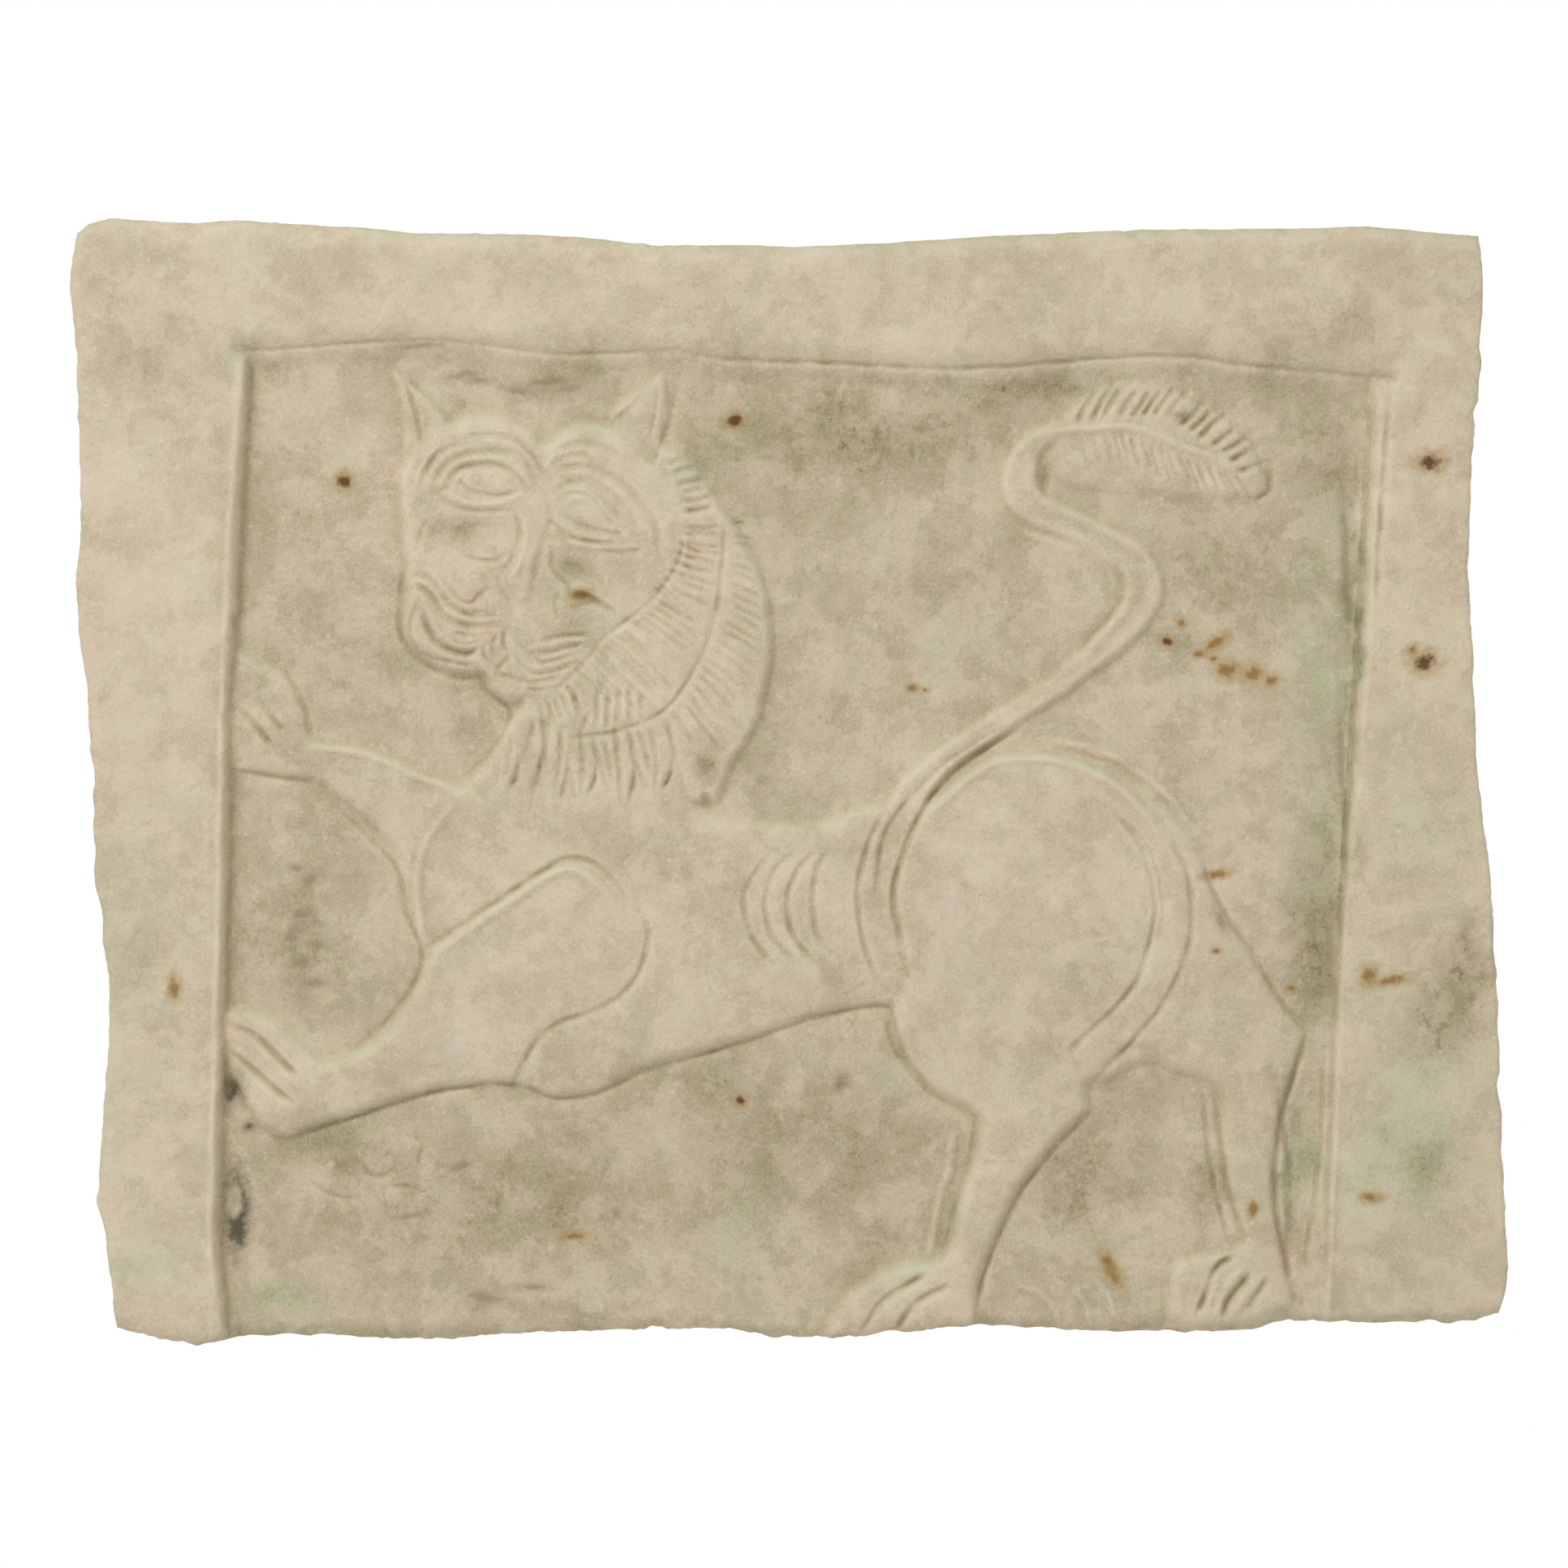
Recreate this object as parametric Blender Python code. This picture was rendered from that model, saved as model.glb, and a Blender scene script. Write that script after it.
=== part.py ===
"""A stone wall slab carved in low relief with a lion that walks to the left and looks out of its panel.

The slab's flat back lies on the plane y = 0 with its middle at the origin, the carved face looks to -Y and
+Z is up. The figure is kept as a drawing, in the pixels of a picture of the slab with x to the right and y
down; place() lays that drawing on the slab, so a new width, height or border carries the figure with it.
"""

import bmesh
import bpy
import numpy as np

# Sizes of the slab in metres
SLAB_WIDTH = 0.600
SLAB_HEIGHT = 0.471
SLAB_THICKNESS = 0.060
LEFT_BORDER = 0.0693
RIGHT_BORDER = 0.0659
TOP_BORDER = 0.0615
PANEL_DEPTH = 0.009

# Power of the curve by which the panel's walls run out into the ground
WALL_CURVE = 1.5

# How far the panel's walls and the worn edges run in from their upper edge
LEFT_WALL = 0.0055
TOP_WALL = 0.0045
RIGHT_WALL = 0.0100
TOP_WEAR = 0.0060
SIDE_WEAR = 0.0035
FOOT_WEAR = 0.0090
WEAR_DEPTH = 0.0045

# Heights of the figure's parts over the panel's ground
FAR_LEG_RISE = 0.0042
BODY_RISE = 0.0054
TAIL_RISE = 0.0062
NEAR_LEG_RISE = 0.0066
HAUNCH_RISE = 0.0070
MANE_RISE = 0.0064
EAR_RISE = 0.0050
HEAD_RISE = 0.0070

# How wide the rounded edge of a part is, and how much a broad part swells towards its middle
NARROW_SHOULDER = 0.0036
BROAD_SHOULDER = 0.0065
SWELL = 0.0011
SWELL_REACH = 0.040

# Cut lines
CUT_WIDTH = 0.0034
CUT_DEPTH = 0.0013
DEEP_CUT_WIDTH = 0.0050
DEEP_CUT_DEPTH = 0.0022
LOCK_CUT_WIDTH = 0.0028
LOCK_CUT_DEPTH = 0.0009
RIB_WIDTH = 0.0060
RIB_RISE = 0.0010

# The sampled surface and the number of triangles that it is brought down to
SAMPLE_SPACING = 0.0012
SIDE_ROWS = 6
EDGE_PASSES = 6
TRIANGLES = 9200

STONE_COLOUR = (0.552, 0.452, 0.323, 1.0)
STONE_ROUGHNESS = 0.9

# The drawing's frame: outer edges of the slab and inner edges of its borders, in pixels
DRAWN_COLUMNS = (85, 290, 1665, 1859)
DRAWN_ROWS = (268, 450, 1660)

# The slab's four broken edges, in pixels
TOP_EDGE = (
    (93, 287), (108, 274), (134, 267), (190, 271), (243, 274), (292, 270), (350, 274), (450, 280),
    (515, 287), (600, 286), (720, 291), (775, 298), (990, 303), (1100, 298), (1236, 289), (1413, 282),
    (1611, 280), (1687, 278), (1824, 290),
)
BOTTOM_EDGE = (
    (142, 1638), (195, 1651), (244, 1660), (300, 1650), (399, 1649), (525, 1655), (595, 1649), (700, 1643),
    (899, 1641), (948, 1651), (1014, 1652), (1098, 1646), (1210, 1635), (1370, 1645), (1546, 1642),
    (1590, 1630), (1640, 1630), (1785, 1633), (1847, 1625),
)
LEFT_EDGE = (
    (93, 287), (84, 350), (93, 430), (96, 560), (99, 650), (92, 709), (96, 780), (107, 850), (106, 925),
    (114, 952), (114, 1068), (129, 1184), (134, 1260), (123, 1418), (117, 1475), (128, 1516), (142, 1638),
)
RIGHT_EDGE = (
    (1824, 290), (1828, 330), (1826, 455), (1816, 556), (1810, 700), (1816, 808), (1821, 947),
    (1839, 1086), (1846, 1224), (1853, 1424), (1859, 1561), (1856, 1590), (1847, 1625),
)

# The upper edge of the panel's wall; the panel runs out through the foot of the slab
PANEL_LEFT = ((276, 1660), (264, 1520), (271, 1291), (276, 1068), (281, 865), (290, 686), (303, 432))
PANEL_TOP = (
    (303, 432), (506, 419), (587, 424), (685, 436), (829, 432), (901, 443), (1088, 450), (1182, 455),
    (1363, 441), (1468, 440), (1536, 450), (1628, 458), (1712, 466),
)
PANEL_RIGHT = (
    (1712, 466), (1702, 640), (1691, 829), (1676, 1023), (1658, 1202), (1650, 1380), (1637, 1573), (1630, 1660),
)

# Outlines of the lion's parts, in pixels, from the ones that lie lowest to the ones on top
FAR_FORELEG = (
    (283, 803), (320, 812), (350, 826), (372, 866), (386, 908), (445, 918), (520, 950), (575, 975),
    (620, 1060), (600, 1140), (520, 1178), (500, 1130), (488, 1062), (460, 1022), (400, 972), (330, 954),
    (280, 945),
)
FAR_HIND_LEG = (
    (1300, 930), (1380, 950), (1440, 988), (1472, 1030), (1490, 1075), (1505, 1120), (1540, 1170),
    (1575, 1230), (1612, 1273), (1600, 1310), (1583, 1370), (1573, 1430), (1573, 1480), (1580, 1530),
    (1597, 1603), (1560, 1625), (1440, 1680), (1437, 1600), (1450, 1553), (1500, 1541), (1533, 1524),
    (1512, 1460), (1503, 1400), (1500, 1343), (1450, 1322), (1415, 1311), (1345, 1333), (1250, 1250),
    (1240, 1000),
)
BODY = (
    (640, 880), (585, 950), (545, 990), (515, 1045), (507, 1095), (512, 1140), (535, 1200), (600, 1290),
    (632, 1337), (685, 1353), (740, 1345), (800, 1317), (900, 1290), (1000, 1255), (1092, 1240), (1230, 1240),
    (1250, 1000), (1090, 988), (1010, 1010), (930, 1009), (865, 988), (800, 860),
)
NEAR_FORELEG = (
    (527, 1170), (600, 1121), (680, 1068), (712, 1060), (740, 1072), (769, 1108), (797, 1150), (790, 1190),
    (760, 1230), (690, 1259), (655, 1290), (632, 1336), (560, 1340), (500, 1355), (400, 1388), (345, 1405),
    (305, 1372), (277, 1320), (274, 1246), (337, 1253), (395, 1302), (440, 1292), (480, 1258), (512, 1210),
)
TAIL_STEM = (
    (1097, 1236), (1078, 1195), (1063, 1155), (1057, 1100), (1067, 1040), (1088, 995), (1112, 958),
    (1191, 898), (1280, 842), (1330, 803), (1365, 765), (1384, 735), (1378, 705), (1335, 675), (1262, 644),
    (1238, 620), (1232, 592), (1240, 562), (1268, 533), (1305, 515), (1318, 540), (1290, 553), (1281, 580),
    (1290, 606), (1340, 633), (1400, 663), (1430, 695), (1437, 728), (1425, 760), (1395, 795), (1325, 849),
    (1236, 907), (1191, 938), (1146, 987), (1118, 1035), (1105, 1090), (1108, 1140), (1121, 1205),
)
TAIL_TUFT = (
    (1298, 560), (1300, 525), (1325, 495), (1350, 476), (1385, 467), (1420, 469), (1460, 485), (1505, 509),
    (1535, 535), (1557, 570), (1565, 600), (1545, 615), (1470, 614), (1380, 607), (1310, 596),
)
HAUNCH = (
    (1095, 1242), (1106, 1285), (1122, 1318), (1150, 1348), (1203, 1378), (1196, 1430), (1180, 1480),
    (1163, 1548), (1110, 1556), (1062, 1580), (1035, 1605), (1015, 1680), (1200, 1680), (1206, 1592),
    (1228, 1528), (1262, 1462), (1300, 1412), (1343, 1370), (1345, 1333), (1410, 1277), (1447, 1228),
    (1466, 1175), (1470, 1115), (1458, 1060), (1430, 1010), (1395, 970), (1345, 941), (1290, 925),
    (1240, 925), (1196, 943), (1152, 987), (1122, 1040), (1109, 1095), (1111, 1145), (1120, 1200),
)
MANE_BACK = (
    (800, 552), (824, 549), (848, 562), (870, 590), (898, 632), (922, 670), (944, 718), (953, 772),
    (953, 812), (945, 858), (930, 903), (905, 943), (886, 988),
)
MANE_TIPS = (
    (845, 980), (812, 987), (790, 990), (763, 1008), (735, 1000), (712, 990), (690, 986), (664, 978),
    (641, 970), (618, 973),
)
MANE_FRONT = ((605, 930), (625, 900), (634, 872), (700, 800), (760, 700))
LOCK_NOTCH = 34
HEAD = (
    (503, 562), (490, 585), (487, 625), (494, 685), (496, 722), (493, 765), (502, 797), (530, 819),
    (560, 832), (591, 832), (600, 853), (632, 868), (668, 862), (694, 842), (716, 814), (738, 790),
    (770, 765), (803, 738), (831, 705), (839, 670), (831, 630), (816, 592), (800, 560), (770, 530),
    (738, 518), (702, 521), (674, 543), (655, 527), (620, 510), (580, 509), (548, 520), (522, 540),
)
LEFT_EAR = ((482, 455), (503, 468), (547, 508), (555, 535), (515, 565), (498, 572), (490, 500))
RIGHT_EAR = ((819, 458), (822, 500), (815, 545), (804, 575), (770, 540), (747, 513), (772, 490), (798, 470))

# Cut lines of the face, in pixels
FACE_CUTS = (
    ((518, 592), (522, 577), (538, 560), (560, 546), (582, 540), (605, 537), (632, 542), (648, 553), (664, 572)),
    ((529, 602), (533, 588), (550, 570), (575, 558), (600, 556), (622, 559), (640, 567), (655, 590)),
    ((504, 600), (508, 580), (520, 563)),
    ((548, 598), (564, 584), (582, 577), (600, 576), (617, 580), (632, 590), (645, 608)),
    ((562, 597), (580, 608), (600, 612), (620, 611), (633, 603)),
    ((538, 608), (555, 620), (572, 628), (600, 629), (634, 630), (641, 654), (634, 678), (618, 700)),
    ((615, 710), (620, 728), (629, 743)),
    ((677, 588), (668, 612), (668, 632), (664, 652)),
    ((680, 640), (674, 660), (664, 688), (659, 708), (662, 733)),
    ((672, 556), (692, 553), (712, 548), (730, 546), (752, 552)),
    ((678, 580), (700, 576), (740, 578), (765, 594), (790, 618), (808, 647), (815, 672), (812, 699)),
    ((697, 588), (718, 590), (742, 600), (766, 621), (781, 640), (784, 656)),
    ((690, 614), (702, 607), (718, 608), (738, 618), (754, 637), (764, 648)),
    ((688, 636), (708, 643), (735, 653), (766, 658)),
    ((742, 677), (766, 680), (790, 675)),
    ((681, 676), (681, 700), (700, 720), (706, 733)),
    ((558, 672), (575, 686), (600, 692), (617, 689)),
    ((508, 712), (522, 709), (535, 716), (546, 736), (560, 750), (585, 758), (612, 755)),
    ((541, 706), (553, 722), (566, 736), (580, 743), (590, 733), (602, 723)),
    ((503, 728), (514, 722), (527, 730), (538, 746), (556, 767), (590, 772), (616, 768)),
    ((670, 787), (698, 782), (720, 783)),
    ((664, 804), (690, 801), (716, 793)),
    ((664, 817), (690, 812), (712, 807)),
    ((612, 826), (632, 834), (660, 838), (692, 832)),
)
DEEP_CUTS = (
    ((522, 764), (533, 782), (547, 797), (568, 803), (593, 797)),
    ((704, 735), (728, 736), (752, 752)),
    ((613, 822), (628, 809)),
    ((678, 578), (686, 571), (700, 564)),
)
LIP_CUT = ((516, 746), (507, 764), (506, 786), (520, 803), (545, 814), (590, 820))

# Soft swellings and hollows of the face: middle, half length, half width, turn in degrees and rise
SOFT_FORMS = (
    ((600, 594), 40, 16, 4, 0.0009),
    ((574, 656), 46, 26, -8, -0.0017),
    ((580, 714), 28, 24, 0, 0.0013),
    ((648, 700), 72, 18, 97, 0.0014),
    ((724, 632), 44, 18, 28, 0.0009),
    ((712, 710), 38, 22, 28, -0.0018),
    ((690, 765), 48, 22, -5, 0.0012),
    ((645, 850), 38, 14, 0, 0.0010),
    ((668, 570), 44, 12, 90, -0.0014),
    ((536, 800), 40, 12, 28, 0.0010),
)

# Lines of the mane: where the face meets it, the arc that parts it in two, and its outer strokes' ends
MANE_INNER = (
    (822, 600), (842, 655), (837, 695), (805, 742), (772, 770), (740, 794), (718, 820), (694, 848), (640, 876),
)
MANE_ARC = (
    (885, 600), (893, 650), (889, 720), (880, 765), (862, 810), (825, 868), (790, 895), (745, 906), (640, 905),
)
MANE_OUTER = ((915, 655), (938, 700), (950, 760), (950, 815), (941, 862), (924, 905), (896, 945))
INNER_STROKES = 24
OUTER_STROKES = 16
OUTER_START = 0.10
OUTER_END = 0.58

# Cut lines of the body, in pixels
RIB_CUTS = (
    ((950, 1053), (929, 1077), (916, 1110), (926, 1152), (952, 1190)),
    ((975, 1053), (954, 1074), (943, 1110), (952, 1152), (980, 1188)),
    ((1000, 1052), (982, 1076), (970, 1112), (977, 1152), (1006, 1187)),
    ((1016, 1053), (1005, 1077), (1001, 1112), (1008, 1152), (1030, 1181)),
)
RUMP_CUTS = (
    ((1365, 993), (1398, 1028), (1419, 1076), (1424, 1128), (1412, 1180), (1390, 1225), (1322, 1292)),
    ((1448, 1040), (1466, 1085), (1470, 1130), (1459, 1185), (1425, 1250), (1350, 1330)),
)
TAIL_UNDERCUT = (
    (1252, 900), (1190, 938), (1150, 979), (1121, 1032), (1106, 1076), (1102, 1106), (1108, 1150), (1119, 1202),
)
TAIL_LINE = ((1090, 997), (1069, 1045), (1058, 1095), (1060, 1140), (1074, 1188), (1093, 1222))
SHOULDER_CUTS = (
    ((527, 1168), (600, 1119), (680, 1066), (712, 1058), (742, 1070), (772, 1108)),
    ((795, 1132), (798, 1160), (783, 1206), (745, 1240), (690, 1260), (655, 1291), (632, 1336)),
)
TOE_CUTS = (
    ((282, 1262), (312, 1276), (332, 1293), (368, 1328)),
    ((285, 1298), (312, 1318), (356, 1357)),
    ((298, 876), (316, 896), (331, 917)),
    ((318, 860), (334, 884), (350, 902)),
    ((1522, 1548), (1500, 1562), (1486, 1598), (1475, 1622)),
    ((1540, 1572), (1516, 1600), (1508, 1622)),
    ((1563, 1578), (1547, 1600), (1540, 1614)),
    ((1142, 1570), (1092, 1600), (1062, 1640)),
    ((1168, 1585), (1130, 1604), (1104, 1640)),
)
TUFT_RIB = ((1306, 530), (1350, 522), (1400, 526), (1440, 540), (1480, 553), (1540, 580))
TUFT_STROKES = 11
TUFT_STROKE_ENDS = (0.08, 0.92)
TUFT_STROKE_RUN = 22
TUFT_STROKE_DROP = 36
ABOVE_RIB = 6
BELOW_RIB = 10
STROKE_START = 0.18
STROKE_END = 0.92


def place(points):
    """Metres across and up the slab for drawn points, stretched so borders and panel keep their own sizes."""
    points = np.asarray(points, float)
    across = (-SLAB_WIDTH / 2, LEFT_BORDER - SLAB_WIDTH / 2, SLAB_WIDTH / 2 - RIGHT_BORDER, SLAB_WIDTH / 2)
    up = (SLAB_HEIGHT / 2, SLAB_HEIGHT / 2 - TOP_BORDER, -SLAB_HEIGHT / 2)
    x = np.interp(points[..., 0], DRAWN_COLUMNS, across)
    z = np.interp(points[..., 1], DRAWN_ROWS, up)
    return np.stack((x, z), axis=-1)


def smoothed(points, closed=False, steps=4):
    """A curve through the points: each stretch is a cubic whose ends lean along the neighbouring points."""
    points = np.asarray(points, float)
    if closed:
        before, after = np.roll(points, 1, axis=0), np.roll(points, -1, axis=0)
        following = np.roll(points, -2, axis=0)
    else:
        before = np.vstack((points[:1], points[:-2]))
        after = points[1:]
        following = np.vstack((points[2:], points[-1:]))
        points = points[:-1]
    share = (np.arange(steps) / steps)[None, :, None]
    p0, p1, p2, p3 = (p[:, None, :] for p in (before, points, after, following))
    curve = 0.5 * (
        2 * p1
        + (p2 - p0) * share
        + (2 * p0 - 5 * p1 + 4 * p2 - p3) * share**2
        + (3 * p1 - p0 - 3 * p2 + p3) * share**3
    )
    curve = curve.reshape(-1, 2)
    return curve if closed else np.vstack((curve, after[-1:]))


def along_path(path, shares):
    """Points at the given shares of a path's length."""
    path = np.asarray(path, float)
    run = np.concatenate(([0.0], np.cumsum(np.hypot(*np.diff(path, axis=0).T))))
    at = np.asarray(shares) * run[-1]
    return np.stack((np.interp(at, run, path[:, 0]), np.interp(at, run, path[:, 1])), axis=-1)


def distance_to(path, x, z):
    """Distance from each place to a path of straight stretches."""
    nearest = np.full(x.shape, np.inf)
    for (ax, az), (bx, bz) in zip(path[:-1], path[1:]):
        dx, dz = bx - ax, bz - az
        length = max(dx * dx + dz * dz, 1e-18)
        share = np.clip(((x - ax) * dx + (z - az) * dz) / length, 0.0, 1.0)
        nearest = np.minimum(nearest, (x - ax - share * dx) ** 2 + (z - az - share * dz) ** 2)
    return np.sqrt(nearest)


def inside(outline, x, z):
    """True where a ray to the right crosses the closed outline an odd number of times."""
    odd = np.zeros(x.shape, bool)
    for (ax, az), (bx, bz) in zip(outline, np.roll(outline, -1, axis=0)):
        if az != bz:
            crossed = (az > z) != (bz > z)
            odd ^= crossed & (x < ax + (z - az) * (bx - ax) / (bz - az))
    return odd


def depth_inside(outline, x, z):
    """How far inside a closed outline each place lies, below nought outside it."""
    distance = distance_to(np.vstack((outline, outline[:1])), x, z)
    return np.where(inside(outline, x, z), distance, -distance)


def close_to(path, x, z, reach):
    """The places within reach of a path's bounding box."""
    low, high = path.min(axis=0) - reach, path.max(axis=0) + reach
    return (x > low[0]) & (x < high[0]) & (z > low[1]) & (z < high[1])


def quarter_round(share):
    """A rounded edge that climbs steeply from nought and levels off at one."""
    share = np.clip(share, 0.0, 1.0)
    return np.sqrt(1.0 - (1.0 - share) ** 2)


def raise_part(height, x, z, drawn, rise, shoulder, swell=0.0):
    """Lifts the inside of a drawn outline to a level: a quarter-round edge, then a slow swell inwards."""
    outline = place(smoothed(drawn, closed=True))
    near = close_to(outline, x, z, 0.0)
    depth = depth_inside(outline, x[near], z[near])
    inward = np.clip(depth / SWELL_REACH, 0.0, 1.0)
    top = rise + swell * inward * (2.0 - inward)
    under = height[near]
    height[near] = np.where(depth > 0.0, under + (top - under) * quarter_round(depth / shoulder), under)


def cut_line(height, x, z, drawn, width, depth):
    """Cuts a round-bottomed channel along a drawn line."""
    path = place(smoothed(drawn))
    near = close_to(path, x, z, width)
    share = np.clip(2.0 * distance_to(path, x[near], z[near]) / width, 0.0, 1.0)
    height[near] -= depth * (1.0 - share**2) ** 2


def soft_form(height, x, z, middle, half_length, half_width, turn, rise):
    """Adds a smooth oval swelling, or a hollow where rise is below nought, that fades out like a bell."""
    centre = place(middle)
    scale = place((middle[0] + 1.0, middle[1]))[0] - centre[0]
    cos, sin = np.cos(np.radians(turn)), np.sin(np.radians(turn))
    dx, dz = x - centre[0], centre[1] - z
    along = (dx * cos + dz * sin) / (half_length * scale)
    across = (dz * cos - dx * sin) / (half_width * scale)
    height += rise * np.exp(-2.0 * (along**2 + across**2))


def strokes_between(inner, outer, count):
    """Short lines that run from one curve to another, spread evenly along both."""
    shares = (np.arange(count) + 0.5) / count
    starts, ends = along_path(smoothed(inner), shares), along_path(smoothed(outer), shares)
    return [(a + (b - a) * STROKE_START, a + (b - a) * STROKE_END) for a, b in zip(starts, ends)]


def mane_outline():
    """The mane's back, its row of pointed locks with a notch between each two, and its front."""
    fringe = [MANE_TIPS[0]]
    for (ax, ay), (bx, by) in zip(MANE_TIPS[:-1], MANE_TIPS[1:]):
        fringe += [((ax + bx) / 2, (ay + by) / 2 - LOCK_NOTCH), (bx, by)]
    return MANE_BACK + tuple(fringe) + MANE_FRONT


def mane_strokes():
    """The mane's cut locks: a ring next to the face, a ring outside the arc and lines up from the notches."""
    arc = smoothed(MANE_ARC)
    strokes = strokes_between(MANE_INNER, MANE_ARC, INNER_STROKES)
    outer_arc = along_path(arc, np.linspace(OUTER_START, OUTER_END, OUTER_STROKES))
    strokes += strokes_between(outer_arc, MANE_OUTER, OUTER_STROKES)
    for (ax, ay), (bx, by) in zip(MANE_TIPS[:-1], MANE_TIPS[1:]):
        middle = (ax + bx) / 2
        strokes.append(((middle, (ay + by) / 2 - LOCK_NOTCH), (middle, min(ay, by) - 2 * LOCK_NOTCH)))
    return strokes


def tuft_strokes():
    """Slanting cuts on both sides of the tuft's middle rib."""
    roots = along_path(smoothed(TUFT_RIB), np.linspace(*TUFT_STROKE_ENDS, TUFT_STROKES))
    above = [((x, y - ABOVE_RIB), (x + TUFT_STROKE_RUN, y - TUFT_STROKE_DROP)) for x, y in roots]
    below = [((x, y + BELOW_RIB), (x + TUFT_STROKE_RUN / 2, y + TUFT_STROKE_DROP)) for x, y in roots]
    return above + below


def border_height(x, z):
    """The border's level outside the panel and its sloping wall inside it, down to the ground at nought."""
    panel = place(PANEL_LEFT + PANEL_TOP[1:] + PANEL_RIGHT[1:])
    below = np.array((0.0, -SLAB_HEIGHT))
    panel = np.vstack((panel[:1] + below, panel, panel[-1:] + below))
    fallen = np.ones(x.shape)
    for drawn, wall in ((PANEL_LEFT, LEFT_WALL), (PANEL_TOP, TOP_WALL), (PANEL_RIGHT, RIGHT_WALL)):
        fallen = np.minimum(fallen, distance_to(place(drawn), x, z) / wall)
    return np.where(inside(panel, x, z), PANEL_DEPTH * (1.0 - fallen) ** WALL_CURVE, PANEL_DEPTH)


def wear_edges(height, x, z, edges):
    """Rounds the face back towards the slab's four edges."""
    left, right, top, bottom = edges
    for inward, width in (
        (x - left, SIDE_WEAR), (right - x, SIDE_WEAR), (top - z, TOP_WEAR), (z - bottom, FOOT_WEAR),
    ):
        height -= WEAR_DEPTH * (1.0 - np.clip(inward / width, 0.0, 1.0)) ** 2


def relief_height(x, z, edges):
    """Height over the panel's ground of every place on the face, each part laid over the ones before it."""
    height = border_height(x, z)
    raise_part(height, x, z, FAR_FORELEG, FAR_LEG_RISE, BROAD_SHOULDER)
    raise_part(height, x, z, FAR_HIND_LEG, FAR_LEG_RISE, BROAD_SHOULDER, SWELL)
    raise_part(height, x, z, BODY, BODY_RISE, BROAD_SHOULDER, SWELL)
    raise_part(height, x, z, NEAR_FORELEG, NEAR_LEG_RISE, BROAD_SHOULDER, SWELL)
    raise_part(height, x, z, HAUNCH, HAUNCH_RISE, BROAD_SHOULDER, SWELL)
    raise_part(height, x, z, TAIL_STEM, TAIL_RISE, NARROW_SHOULDER)
    raise_part(height, x, z, TAIL_TUFT, TAIL_RISE, NARROW_SHOULDER)
    raise_part(height, x, z, mane_outline(), MANE_RISE, NARROW_SHOULDER, SWELL)
    raise_part(height, x, z, LEFT_EAR, EAR_RISE, NARROW_SHOULDER)
    raise_part(height, x, z, RIGHT_EAR, EAR_RISE, NARROW_SHOULDER)
    raise_part(height, x, z, HEAD, HEAD_RISE, BROAD_SHOULDER, SWELL)
    for form in SOFT_FORMS:
        soft_form(height, x, z, *form)
    for drawn in FACE_CUTS + RIB_CUTS + RUMP_CUTS + SHOULDER_CUTS + TOE_CUTS + (LIP_CUT, TAIL_LINE):
        cut_line(height, x, z, drawn, CUT_WIDTH, CUT_DEPTH)
    for drawn in DEEP_CUTS + (TAIL_UNDERCUT,):
        cut_line(height, x, z, drawn, DEEP_CUT_WIDTH, DEEP_CUT_DEPTH)
    for drawn in mane_strokes() + tuft_strokes() + [MANE_ARC]:
        cut_line(height, x, z, drawn, LOCK_CUT_WIDTH, LOCK_CUT_DEPTH)
    cut_line(height, x, z, TUFT_RIB, RIB_WIDTH, -RIB_RISE)
    wear_edges(height, x, z, edges)
    return height


def edge_lines():
    """The four broken edges in metres, the left and right ones from the foot up for looking up."""
    top, bottom, left, right = (place(e) for e in (TOP_EDGE, BOTTOM_EDGE, LEFT_EDGE, RIGHT_EDGE))
    return top, bottom, left[::-1], right[::-1]


def face_places():
    """A grid of places on the face whose outer rows and columns lie on the slab's broken edges."""
    top, bottom, left, right = edge_lines()
    columns = round(SLAB_WIDTH / SAMPLE_SPACING)
    rows = round(SLAB_HEIGHT / SAMPLE_SPACING)
    u, v = np.meshgrid(np.linspace(0.0, 1.0, columns + 1), np.linspace(0.0, 1.0, rows + 1))
    x = (u - 0.5) * SLAB_WIDTH
    z = (v - 0.5) * SLAB_HEIGHT
    for _ in range(EDGE_PASSES):
        x_left, x_right = np.interp(z, left[:, 1], left[:, 0]), np.interp(z, right[:, 1], right[:, 0])
        x = x_left + u * (x_right - x_left)
        z_top, z_bottom = np.interp(x, top[:, 0], top[:, 1]), np.interp(x, bottom[:, 0], bottom[:, 1])
        z = z_bottom + v * (z_top - z_bottom)
    return x, z, (x_left, x_right, z_top, z_bottom)


def grid_faces(numbers):
    """Four-cornered faces over a grid of vertex numbers."""
    corners = (numbers[:-1, :-1], numbers[:-1, 1:], numbers[1:, 1:], numbers[1:, :-1])
    return np.stack(corners, axis=-1).reshape(-1, 4)


def sampled_shell():
    """Vertices and faces of the carved face and the four sides, open at the back."""
    x, z, edges = face_places()
    ground = PANEL_DEPTH - SLAB_THICKNESS
    y = ground - relief_height(x, z, edges)
    face = np.stack((x, y, z), axis=-1)
    numbers = np.arange(x.size).reshape(x.shape)
    rim = np.concatenate((numbers[0, :-1], numbers[:-1, -1], numbers[-1, :0:-1], numbers[:0:-1, 0]))
    front = face.reshape(-1, 3)
    rings = [rim]
    vertices = [front]
    for row in range(1, SIDE_ROWS + 1):
        ring = front[rim].copy()
        ring[:, 1] *= 1.0 - row / SIDE_ROWS
        rings.append(len(front) + (row - 1) * len(rim) + np.arange(len(rim)))
        vertices.append(ring)
    rings = np.array(rings)
    closed_rings = np.hstack((rings, rings[:, :1]))
    return np.vstack(vertices), np.vstack((grid_faces(numbers), grid_faces(closed_rings[::-1])))


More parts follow.
